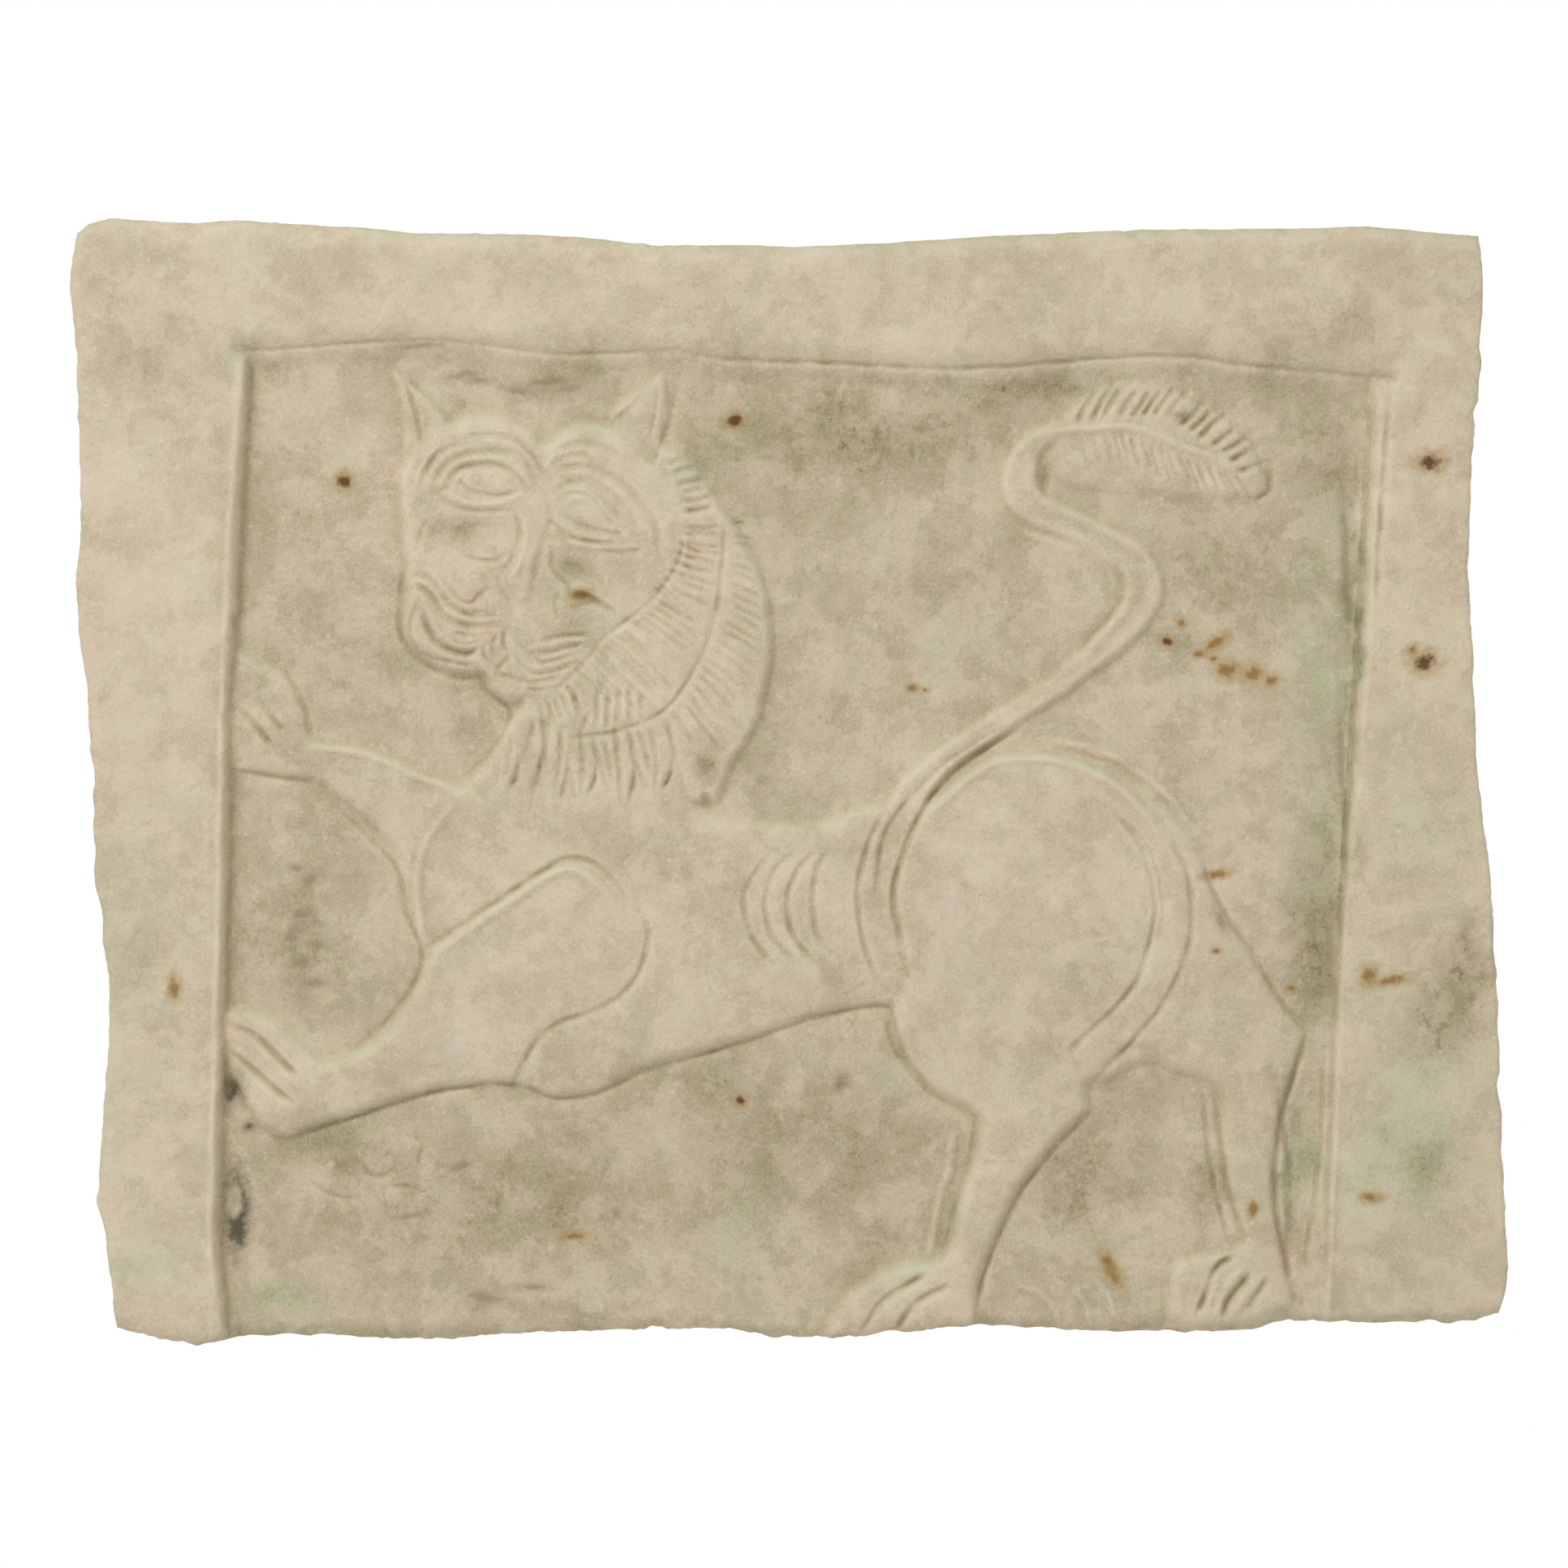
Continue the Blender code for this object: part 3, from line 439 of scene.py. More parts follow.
# Lines along the right wall: its foot all the way down, and the fillet's outer edge near the top
WALL_CUTS = (
    ((1688, 468), (1685, 600), (1676, 760), (1664, 960), (1654, 1120), (1643, 1300), (1637, 1460),
     (1633, 1620)),
    ((1712, 470), (1708, 560), (1702, 640), (1696, 740)),
)

# Marks of wear: short scratches near the foot, and knocks as middle, half length, half width, turn and rise
SCRATCHES = (
    ((410, 1425), (418, 1440), (430, 1448)),
    ((446, 1432), (452, 1446), (468, 1450), (485, 1440)),
    ((384, 1455), (400, 1470), (425, 1478), (450, 1475)),
    ((475, 1465), (500, 1462), (525, 1474), (542, 1496)),
    ((508, 1400), (520, 1412), (516, 1432), (525, 1442)),
)
KNOCKS = (
    ((380, 1138), 24, 14, 10, -0.0012),
    ((378, 1212), 30, 10, 20, -0.0010),
    ((287, 1480), 30, 12, 90, -0.0030),
    ((292, 1358), 28, 12, 100, -0.0026),
    ((868, 955), 24, 16, 100, -0.0010),
    ((1290, 592), 24, 8, 95, -0.0026),
    ((1325, 1290), 14, 8, -40, -0.0014),
    ((1598, 1440), 120, 14, 92, -0.0024),
    ((640, 1592), 50, 16, 0, -0.0012),
    ((1490, 1078), 16, 8, 0, -0.0010),
    ((1035, 1336), 10, 14, 0, -0.0008),
)

# Stains: middle, half length, half width in pixels and turn in degrees
RUST_STAINS = (
    ((905, 518), 11, 8, 20), ((423, 592), 9, 10, 0), ((1762, 570), 16, 11, 0), ((1755, 816), 16, 12, 0),
    ((1440, 790), 8, 6, 0), ((912, 1357), 7, 6, 0),
)
OCHRE_STAINS = (
    ((1457, 768), 6, 5, 0), ((1500, 792), 15, 6, 35), ((1515, 826), 14, 10, 0), ((1546, 830), 11, 9, 30),
    ((1568, 838), 9, 7, 0), ((1478, 806), 6, 4, 0), ((1500, 1078), 15, 5, 10), ((1686, 1202), 12, 9, 60),
    ((1714, 1208), 20, 6, 10), ((1690, 1475), 12, 6, 0), ((1125, 848), 6, 5, 0), ((1740, 800), 8, 5, 30),
    ((1497, 812), 5, 4, 0), ((1594, 1218), 5, 4, 0), ((1640, 1202), 4, 3, 0), ((1500, 1172), 5, 3, 0),
    ((706, 1524), 16, 4, 0), ((1140, 850), 4, 3, 0), ((215, 1217), 7, 13, 0), ((715, 733), 13, 7, 10),
    ((1370, 1565), 22, 8, -62), ((1366, 1556), 9, 5, -62), ((1545, 1490), 6, 9, 0),
)
PITCH_STAINS = (
    ((290, 1490), 38, 11, 91), ((291, 1476), 26, 10, 91), ((291, 1512), 24, 10, 88),
    ((287, 1350), 17, 10, 80),
    ((305, 1389), 5, 4, 0),
)

SOOT_STAINS = (
    ((566, 462), 22, 5, 12), ((590, 468), 12, 4, 0), ((640, 481), 20, 4, -8), ((672, 470), 26, 6, 8),
    ((704, 478), 18, 7, 10), ((520, 425), 30, 4, 4),
    ((1566, 588), 4, 14, 0), ((1584, 1400), 50, 5, 100), ((1590, 1500), 44, 5, 84), ((363, 1070), 9, 6, 0),
    ((382, 1085), 14, 8, 40),
    ((360, 1150), 16, 8, 60), ((390, 1165), 8, 5, 0), ((372, 1186), 10, 6, 0), ((1640, 1180), 8, 60, 0),
    ((1660, 700), 6, 90, 2), ((1655, 940), 5, 80, 2), ((600, 1600), 22, 5, -10), ((655, 1588), 16, 5, 0),
    ((420, 1436), 12, 5, 30), ((566, 1438), 14, 5, 10), ((760, 1496), 6, 5, 0), ((500, 1500), 20, 4, 10),
    ((372, 1126), 12, 6, 10), ((384, 1212), 16, 5, 0), ((306, 1388), 8, 6, 0), ((720, 742), 18, 5, 18),
    ((1455, 512), 8, 5, 0), ((1035, 1336), 6, 11, 0), ((1505, 1135), 6, 14, 20),
)

# Stone colours, from the darkest grime to the palest crust, and what lies on them; the damp colour and the
# hollow tint also paint shade
STONE_RAMP = (
    (0.00, (0.240, 0.190, 0.108, 1.0)), (0.25, (0.400, 0.328, 0.205, 1.0)),
    (0.50, (0.545, 0.452, 0.315, 1.0)),
    (0.72, (0.655, 0.550, 0.402, 1.0)), (1.00, (0.745, 0.640, 0.490, 1.0)),
)
GREEN_FILM = (0.785, 0.99, 0.875, 1.0)
BLOOM = (0.660, 0.580, 0.490, 1.0)
DAMP_AND_SHADE_STONE = (0.150, 0.128, 0.075, 1.0)
RUST = (0.115, 0.048, 0.018, 1.0)
RUST_HALO = (0.450, 0.275, 0.095, 1.0)
OCHRE = (0.310, 0.170, 0.052, 1.0)
OCHRE_HALO = (0.450, 0.310, 0.130, 1.0)
PITCH = (0.110, 0.098, 0.056, 1.0)
HOLLOW_SHADE_TINT = (0.940, 0.860, 0.740, 1.0)
SOOT = (0.300, 0.240, 0.140, 1.0)
ROSY_TINT = (1.020, 0.985, 0.985, 1.0)
MOSSY_TINT = (0.975, 1.010, 0.975, 1.0)

# Mottling of the stone: noise scale, detail, roughness, distortion and strength
MOTTLING = (
    (7.0, 4.0, 0.60, 0.2, 0.30), (26.0, 6.0, 0.70, 0.2, 0.46), (62.0, 6.0, 0.70, 0.2, 0.34),
    (120.0, 5.0, 0.72, 0.1, 0.40), (800.0, 3.0, 0.75, 0.0, 0.62),
)

# Strength of the films over the stone; the damp colour also paints shade
GREEN_SHARE = 1.0
BLOOM_SHARE = 0.45
DAMP_AND_SHADE_SHARE = 0.80

# Hair-thin bump: grain and pits
GRAIN_SCALE = 300.0
PIT_SCALE = 170.0
PIT_SHARE = 0.3
BUMP_STRENGTH = 0.9
BUMP_DISTANCE = 0.0008


def place(points):
    """Metres across and up the slab for drawn points: the borders and the panel are each stretched evenly."""
    points = np.asarray(points, float)
    across = (-WIDTH / 2, LEFT_BORDER - WIDTH / 2, WIDTH / 2 - RIGHT_BORDER, WIDTH / 2)
    up = (HEIGHT / 2, HEIGHT / 2 - TOP_BORDER, -HEIGHT / 2)
    x = np.interp(points[..., 0], DRAWN_COLUMNS, across)
    z = np.interp(points[..., 1], DRAWN_ROWS, up)
    return np.stack((x, z), axis=-1)


def smoothed(points, closed=False, steps=5):
    """A curve through the points: each stretch is a cubic whose ends lean along the neighbouring points."""
    points = np.asarray(points, float)
    if closed:
        before, after = np.roll(points, 1, axis=0), np.roll(points, -1, axis=0)
        following = np.roll(points, -2, axis=0)
    else:
        before = np.vstack((points[:1], points[:-2]))
        after = points[1:]
        following = np.vstack((points[2:], points[-1:]))
        points = points[:-1]
    share = (np.arange(steps) / steps)[None, :, None]
    p0, p1, p2, p3 = (p[:, None, :] for p in (before, points, after, following))
    curve = 0.5 * (
        2 * p1
        + (p2 - p0) * share
        + (2 * p0 - 5 * p1 + 4 * p2 - p3) * share**2
        + (3 * p1 - p0 - 3 * p2 + p3) * share**3
    )
    curve = curve.reshape(-1, 2)
    return curve if closed else np.vstack((curve, after[-1:]))


def along_path(path, shares):
    """Points at the given shares of a path's length."""
    path = np.asarray(path, float)
    run = np.concatenate(([0.0], np.cumsum(np.hypot(*np.diff(path, axis=0).T))))
    at = np.asarray(shares) * run[-1]
    return np.stack((np.interp(at, run, path[:, 0]), np.interp(at, run, path[:, 1])), axis=-1)


def distance_to(path, x, z):
    """Distance from each place to a path, and the share of the path's length at which it is nearest."""
    nearest = np.full(x.shape, np.inf)
    where = np.zeros(x.shape)
    steps = np.hypot(*np.diff(path, axis=0).T)
    run = np.concatenate(([0.0], np.cumsum(steps)))
    for k, ((ax, az), (bx, bz)) in enumerate(zip(path[:-1], path[1:])):
        dx, dz = bx - ax, bz - az
        share = np.clip(((x - ax) * dx + (z - az) * dz) / max(dx * dx + dz * dz, 1e-18), 0.0, 1.0)
        distance = (x - ax - share * dx) ** 2 + (z - az - share * dz) ** 2
        closer = distance < nearest
        nearest = np.where(closer, distance, nearest)
        where = np.where(closer, run[k] + share * steps[k], where)
    return np.sqrt(nearest), where / run[-1]


def inside(outline, x, z):
    """True where a ray to the right crosses the closed outline an odd number of times."""
    odd = np.zeros(x.shape, bool)
    for (ax, az), (bx, bz) in zip(outline, np.roll(outline, -1, axis=0)):
        if az != bz:
            odd ^= ((az > z) != (bz > z)) & (x < ax + (z - az) * (bx - ax) / (bz - az))
    return odd


def close_to(path, x, z, reach):
    """The places within reach of a path's bounding box."""
    least, most = path.min(axis=0) - reach, path.max(axis=0) + reach
    return (x > least[0]) & (x < most[0]) & (z > least[1]) & (z < most[1])


def worn_round(share):
    """A worn, rounded edge: it climbs from nought along a parabola and levels off at one."""
    share = np.clip(share, 0.0, 1.0)
    return 1.0 - (1.0 - share) ** 2


def cloud(x, z, cell, seed):
    """Soft noise from -1 to 1: random values on a square lattice, blended smoothly between its corners."""
    lattice = np.random.default_rng(seed).uniform(-1.0, 1.0, (256, 256))
    u, v = x / cell + 97.0, z / cell + 61.0
    i, j = np.floor(u).astype(int), np.floor(v).astype(int)
    s, t = u - i, v - j
    s, t = s * s * (3.0 - 2.0 * s), t * t * (3.0 - 2.0 * t)
    i, j = i % 256, j % 256
    i1, j1 = (i + 1) % 256, (j + 1) % 256
    near_row = lattice[i, j] * (1 - s) + lattice[i1, j] * s
    far_row = lattice[i, j1] * (1 - s) + lattice[i1, j1] * s
    return near_row * (1 - t) + far_row * t


def raise_part(height, x, z, drawn, rise, shoulder, swell=0.0):
    """Lifts the inside of a drawn outline to a level: a worn round edge, then a slow swell inwards."""
    outline = place(smoothed(drawn, closed=True))
    near = close_to(outline, x, z, 0.0)
    px, pz = x[near], z[near]
    depth = np.where(inside(outline, px, pz), distance_to(np.vstack((outline, outline[:1])), px, pz)[0], 0.0)
    inward = np.clip(depth / SWELL_REACH, 0.0, 1.0)
    top = rise + swell * inward * (2.0 - inward)
    height[near] += (top - height[near]) * worn_round(depth / shoulder)


def cut_line(height, x, z, drawn, width, depth, fall):
    """Cuts a round-bottomed channel along a drawn line, uneven in depth and running out at both ends."""
    path = place(smoothed(drawn))
    near = close_to(path, x, z, width)
    distance, where = distance_to(path, x[near], z[near])
    share = np.clip(2.0 * distance / width, 0.0, 1.0)
    fade = 0.35 + 0.65 * np.clip(np.minimum(where, 1.0 - where) / RUN_OUT, 0.0, 1.0)
    worn = 1.0 + UNEVEN_CUT * cloud(x[near], z[near], 0.0075, 71)
    height[near] -= depth * worn * fade * (1.0 - fall * where) * (1.0 - share**2) ** 2


def soft_form(height, x, z, middle, half_length, half_width, turn, rise):
    """Adds a smooth oval swelling, or a hollow where rise is below nought, that fades out like a bell."""
    height += rise * soft_oval(x, z, middle, half_length, half_width, turn)


def soft_oval(x, z, middle, half_length, half_width, turn=0.0):
    """A bell over a turned oval: one at the middle, exp(-2) at its edge."""
    centre = place(middle)
    cos, sin = math.cos(math.radians(turn)), math.sin(math.radians(turn))
    dx, dz = x - centre[0], centre[1] - z
    along = (dx * cos + dz * sin) / (half_length * PIXEL)
    across = (dz * cos - dx * sin) / (half_width * PIXEL)
    return np.exp(-2.0 * (along**2 + across**2))


def strokes_between(inner, outer, count, seed):
    """Slightly uneven lines that run from one curve to another, spread along both and bowed in the middle."""
    scatter = np.random.default_rng(seed)
    shares = (np.arange(count) + 0.5 + scatter.uniform(-0.22, 0.22, count)) / count
    starts, ends = along_path(smoothed(inner), shares), along_path(smoothed(outer), shares)
    bow = scatter.uniform(-STROKE_SCATTER, STROKE_SCATTER, (count, 2))
    first = scatter.uniform(0.0, 0.10, count)[:, None] + STROKE_START
    last = STROKE_END - scatter.uniform(0.0, 0.24, count)[:, None]
    a, c = starts + (ends - starts) * first, starts + (ends - starts) * last
    return [tuple(map(tuple, stroke)) for stroke in np.stack((a, (a + c) / 2 + bow, c), axis=1)]


def notch_cuts():
    """The gaps between two locks, from above each notch down along the side of the lock to its left."""
    notches, tips = MANE_FRINGE[2::2], MANE_FRINGE[3::2]
    cuts = []
    for (x, y), (tip_x, tip_y) in zip(notches, tips):
        cuts.append(((x + 1, y - 16), (x, y), ((x + tip_x) / 2 + 3, (y + tip_y) / 2)))
    return cuts


def tuft_cuts(roots, first_run, last_run, count, seed):
    """Slanting strokes that leave the tuft's rib and lean over more and more, each a little bowed."""
    scatter = np.random.default_rng(seed)
    shares = (np.arange(count) + 0.5 + scatter.uniform(-0.2, 0.2, count)) / count
    starts = along_path(smoothed(roots), shares)
    runs = np.array(first_run) + (np.array(last_run) - np.array(first_run)) * shares[:, None] ** 2
    ends = starts + runs * scatter.uniform(0.75, 1.1, count)[:, None]
    bows = (starts + ends) / 2 + scatter.uniform(-2.0, 2.0, (count, 2))
    return [tuple(map(tuple, stroke)) for stroke in np.stack((starts, bows, ends), axis=1)]


def border_height(x, z):
    """The border's level, worn down towards the panel's top, and the walls down to the ground at nought."""
    panel = place(PANEL_LEFT + PANEL_TOP[1:] + PANEL_RIGHT[1:])
    below = np.array((0.0, -HEIGHT))
    panel = np.vstack((panel[:1] + below, panel, panel[-1:] + below))
    wall = np.zeros(x.shape)
    for drawn, width, curve in (
        (PANEL_LEFT, LEFT_WALL, STEEP_CURVE),
        (PANEL_TOP, TOP_WALL, SOFT_CURVE),
        (PANEL_RIGHT, RIGHT_WALL, STEEP_CURVE),
    ):
        fallen = np.clip(distance_to(place(drawn), x, z)[0] / width, 0.0, 1.0)
        wall = np.maximum(wall, (1.0 - fallen) ** curve)
    worn = np.clip(1.0 - distance_to(place(PANEL_TOP), x, z)[0] / TOP_LIP, 0.0, 1.0) ** 2
    return (PANEL_DEPTH - LIP_DROP * worn) * np.where(inside(panel, x, z), wall, 1.0)


def wear_edges(height, x, z, edges):
    """Rounds the face back towards the slab's four edges, unevenly."""
    left, right, top, bottom = edges
    uneven = 1.0 + 0.40 * cloud(x, z, 0.022, 11) + 0.25 * cloud(x, z, 0.006, 12)
    for inward, (width, depth) in (
        (x - left, SIDE_WEAR), (right - x, SIDE_WEAR), (top - z, TOP_WEAR), (z - bottom, FOOT_WEAR),
    ):
        height -= depth * (1.0 - np.clip(inward / (width * uneven), 0.0, 1.0)) ** 2


def dress_surface(height, x, z):
    """Uneven hand dressing: broad waves, smaller dents and a fine tooth, each noise of its own cell size."""
    height += 0.00045 * cloud(x, z, 0.034, 21) + 0.00028 * cloud(x, z, 0.013, 22)
    height += 0.00013 * cloud(x, z, 0.0052, 23) + 0.00007 * cloud(x, z, 0.0024, 24)
    pits = np.clip(cloud(x, z, 0.0040, 25) * cloud(x, z, 0.0068, 26) - 0.38, 0.0, 1.0)
    height -= 0.0008 * pits


def relief_height(x, z, edges):
    """Height over the panel's ground of every place on the face, each part laid over the ones before it."""
    wander_x = x + 0.0004 * cloud(x, z, 0.009, 31)
    wander_z = z + 0.0004 * cloud(x, z, 0.009, 32)
    args = (wander_x, wander_z)
    height = border_height(*args)
    raise_part(height, *args, FAR_FORELEG, FAR_LEG_RISE, BROAD_SHOULDER)
    raise_part(height, *args, FAR_HIND_LEG, FAR_LEG_RISE, BROAD_SHOULDER, SWELL)
    raise_part(height, *args, BODY, BODY_RISE, BROAD_SHOULDER, SWELL)
    raise_part(height, *args, NEAR_FORELEG, NEAR_LEG_RISE, BROAD_SHOULDER, SWELL)
    raise_part(height, *args, HAUNCH, HAUNCH_RISE, BROAD_SHOULDER, SWELL)
    raise_part(height, *args, TAIL_STEM, TAIL_RISE, NARROW_SHOULDER)
    raise_part(height, *args, TAIL_TUFT, TUFT_RISE, BROAD_SHOULDER)
    raise_part(height, *args, MANE_BACK + MANE_FRINGE + MANE_FRONT, MANE_RISE, MANE_SHOULDER, SWELL)
    raise_part(height, *args, MANE_FRINGE + FRINGE_ROOT, FRINGE_RISE, FRINGE_SHOULDER)
    raise_part(height, *args, LEFT_EAR, EAR_RISE, NARROW_SHOULDER)
    raise_part(height, *args, RIGHT_EAR, EAR_RISE, NARROW_SHOULDER)
    raise_part(height, *args, HEAD, HEAD_RISE, BROAD_SHOULDER, SWELL)
    height = blurred(height, 1)
    for form in SOFT_FORMS + KNOCKS:
        soft_form(height, *args, *form)
    cuts = [(drawn, SOFT_CUT) for drawn in BROW_CUTS]
    cuts += [(drawn, PLAIN_CUT) for drawn in RIB_CUTS + RUMP_CUTS + SHOULDER_CUTS + (TAIL_LINE,)]
    cuts += [(drawn, FINE_CUT) for drawn in FACE_CUTS + EAR_CUTS + RUMP_FINE_CUTS + (MANE_ARC,)]
    cuts += [(drawn, HAIR_CUT) for drawn in WHISKER_CUTS + SCRATCHES + (PANEL_TOP[:5],)]
    cuts += [(drawn, DEEP_CUT) for drawn in DEEP_CUTS + TOE_CUTS]
    cuts += [(drawn, SEAT_CUT) for drawn in SEAT_CUTS + (PANEL_TOP[4:],)]
    cuts += [(drawn, PLAIN_CUT) for drawn in WALL_CUTS]
    cuts += [(drawn, LOCK_CUT) for drawn in FRINGE_CUTS] + [(drawn, NOTCH_CUT) for drawn in notch_cuts()]
    cuts += [(drawn, RIDGE) for drawn in RIDGES] + [(drawn, THIN_RIDGE) for drawn in THIN_RIDGES]
    cuts += [(TAIL_GROOVE, BROAD_CUT)]
    for seed, (inner, outer, count, cut) in enumerate(MANE_ROWS):
        cuts += [(drawn, cut) for drawn in strokes_between(inner, outer, count, 3 + seed)]
    for seed, (roots, first_run, last_run, count, cut) in enumerate(TUFT_ROWS):
        cuts += [(drawn, cut) for drawn in tuft_cuts(roots, first_run, last_run, count, 70 + seed)]
    for px, py, radius in PUPILS:
        turn = np.linspace(0.0, 2.0 * math.pi, 9)
        cuts.append((tuple(zip(px + radius * np.cos(turn), py + radius * np.sin(turn))), HAIR_CUT))
    for drawn, (width, depth, fall) in cuts:
        cut_line(height, *args, drawn, width, depth, fall)
    dress_surface(height, x, z)
    wear_edges(height, x, z, edges)
    return height


def edge_lines():
    """The four broken edges in metres; left and right run from the foot up so that they can be looked up."""
    top, bottom, left, right = (place(e) for e in (TOP_EDGE, BOTTOM_EDGE, LEFT_EDGE, RIGHT_EDGE))
    return top, bottom, left[::-1], right[::-1]


def broken(along, seed):
    """How far a broken edge is bitten back: a fine crumble and now and then a small chip."""
    still = along * 0.0
    crumble = 0.00030 * cloud(along, still, 0.0061, seed) + 0.00018 * cloud(along, still, 0.0023, seed + 1)
    chips = np.clip(cloud(along, still, 0.0140, seed + 2) - 0.50, 0.0, 1.0) * 0.0026
    return 0.0005 + crumble + chips


def side_limits(z, edges):
    """Where the left and right edges are at a height."""
    left, right = edges[2], edges[3]
    inner_left = np.interp(z, left[:, 1], left[:, 0]) + broken(z, 41)
    return inner_left, np.interp(z, right[:, 1], right[:, 0]) - broken(z, 46)


def upright_limits(x, edges):
    """Where the foot and the top are at a place across."""
    top, bottom = edges[0], edges[1]
    foot = np.interp(x, bottom[:, 0], bottom[:, 1]) + 1.5 * broken(x, 51)
    return foot, np.interp(x, top[:, 0], top[:, 1]) - 0.6 * broken(x, 56)


def face_places():
    """A grid of places on the face whose outer rows and columns lie on the slab's broken edges."""
    edges = edge_lines()
    columns, rows = round(WIDTH / SAMPLE_SPACING), round(HEIGHT / SAMPLE_SPACING)
    u, v = np.meshgrid(np.linspace(0.0, 1.0, columns + 1), np.linspace(0.0, 1.0, rows + 1))
    x, z = (u - 0.5) * WIDTH, (v - 0.5) * HEIGHT
    for _ in range(EDGE_PASSES):
        left, right = side_limits(z, edges)
        x = left + u * (right - left)
        bottom, top = upright_limits(x, edges)
        z = bottom + v * (top - bottom)
    return x, z, (left, right, top, bottom)


def grid_faces(numbers):
    """Four-cornered faces over a grid of vertex numbers."""
    corners = (numbers[:-1, :-1], numbers[:-1, 1:], numbers[1:, 1:], numbers[1:, :-1])
    return np.stack(corners, axis=-1).reshape(-1, 4)


def side_rings(rim, first):
    """Rings behind the face's rim, pulled inwards by rough dressing that starts at nought at the rim."""
    along = np.cumsum(np.hypot(*(rim - np.roll(rim, 1, axis=0))[:, (0, 2)].T))
    tangent = np.roll(rim, -9, axis=0) - np.roll(rim, 9, axis=0)
    inward = np.stack((-tangent[:, 2], np.zeros(len(rim)), tangent[:, 0]), axis=-1)
    inward /= np.maximum(np.linalg.norm(inward, axis=1, keepdims=True), 1e-9)
    rings = []
    for row in range(1, SIDE_RINGS + 1):
        share = row / SIDE_RINGS
        ring = rim.copy()
        ring[:, 1] *= 1.0 - share
        rough = 0.0011 * cloud(along, ring[:, 1], 0.016, 51) + 0.0008 * cloud(along, ring[:, 1], 0.006, 52)
        rough += 0.0004 * cloud(along, ring[:, 1], 0.0026, 53)
        ring += inward * ((0.0014 + rough) * min(1.0, row / 3.0))[:, None]
        rings.append(ring)
    numbers = first + np.arange(SIDE_RINGS * len(rim)).reshape(SIDE_RINGS, -1)
    return np.vstack(rings), numbers


def sampled_shell():
    """Vertices and faces of the carved face and the four sides, open at the back, and the height grid."""
    x, z, edges = face_places()
    height = relief_height(x, z, edges)
    face = np.stack((x, PANEL_DEPTH - THICKNESS - height, z), axis=-1)
    numbers = np.arange(x.size).reshape(x.shape)
    rim = np.concatenate((numbers[0, :-1], numbers[:-1, -1], numbers[-1, :0:-1], numbers[:0:-1, 0]))
    front = face.reshape(-1, 3)
    behind, behind_numbers = side_rings(front[rim], len(front))
    rings = np.vstack((rim[None, :], behind_numbers))
    rings = np.hstack((rings, rings[:, :1]))
    return np.vstack((front, behind)), np.vstack((grid_faces(numbers), grid_faces(rings[::-1]))), height


def thinned(vertices, faces, triangles):
    """The sampled surface as a mesh, with edges merged where it is flat until the triangle count is met."""
    mesh = bpy.data.meshes.new("sampled_surface")
    mesh.vertices.add(len(vertices))
    mesh.vertices.foreach_set("co", vertices.astype(np.float32).ravel())
    mesh.loops.add(faces.size)
    mesh.loops.foreach_set("vertex_index", faces.astype(np.int32).ravel())
    mesh.polygons.add(len(faces))
    mesh.polygons.foreach_set("loop_start", np.arange(0, faces.size, 4, dtype=np.int32))
    mesh.update(calc_edges=True)
    sampled = bpy.data.objects.new("sampled_surface", mesh)
    bpy.context.scene.collection.objects.link(sampled)
    merge = sampled.modifiers.new("Merge flat stretches", "DECIMATE")
    merge.ratio = triangles / (2 * len(faces))
    thin = bpy.data.meshes.new_from_object(sampled.evaluated_get(bpy.context.evaluated_depsgraph_get()))
    bpy.data.objects.remove(sampled)
    return thin


def close_back(mesh):
    """Fills the open back with one flat face on the plane y = 0, and marks the slab's real corners sharp."""
    shell = bmesh.new()
    shell.from_mesh(mesh)
    rim = [edge for edge in shell.edges if edge.is_boundary]
    for vertex in {vertex for edge in rim for vertex in edge.verts}:
        vertex.co.y = 0.0
    bmesh.ops.holes_fill(shell, edges=rim, sides=0)
    bmesh.ops.triangulate(shell, faces=shell.faces)
    bmesh.ops.recalc_face_normals(shell, faces=shell.faces)
    for face in shell.faces:
        face.smooth = face.calc_center_median().y < -1e-5
    for edge in shell.edges:
        edge.smooth = edge.calc_face_angle(math.pi) < SHARP_ANGLE
    shell.to_mesh(mesh)
    shell.free()


def blurred(grid, reach):
    """The grid averaged over a square three times, so that the weights are nearly a bell."""
    for _ in range(3):
        for axis in (0, 1):
            padded = np.pad(grid, [(reach + 1, reach) if k == axis else (0, 0) for k in (0, 1)], mode="edge")
            total = np.cumsum(padded, axis=axis)
            size = 2 * reach + 1
            upper, lower = [slice(None)] * 2, [slice(None)] * 2
            upper[axis], lower[axis] = slice(size, None), slice(None, -size)
            grid = (total[tuple(upper)] - total[tuple(lower)]) / size
    return grid


def look_up(grid, u, v):
    """Values of a grid at shares across and up, blended between the four nearest places."""
    rows, columns = grid.shape
    s, t = np.clip(u, 0, 1) * (columns - 1), np.clip(v, 0, 1) * (rows - 1)
    i, j = np.minimum(s.astype(int), columns - 2), np.minimum(t.astype(int), rows - 2)
    s, t = s - i, t - j
    lower = grid[j, i] * (1 - s) + grid[j, i + 1] * s
    upper = grid[j + 1, i] * (1 - s) + grid[j + 1, i + 1] * s
    return lower * (1 - t) + upper * t


def add_values(mesh, name, values):
    layer = mesh.attributes.new(name, "FLOAT", "POINT")
    layer.data.foreach_set("value", np.clip(values, 0.0, 1.0).astype(np.float32))


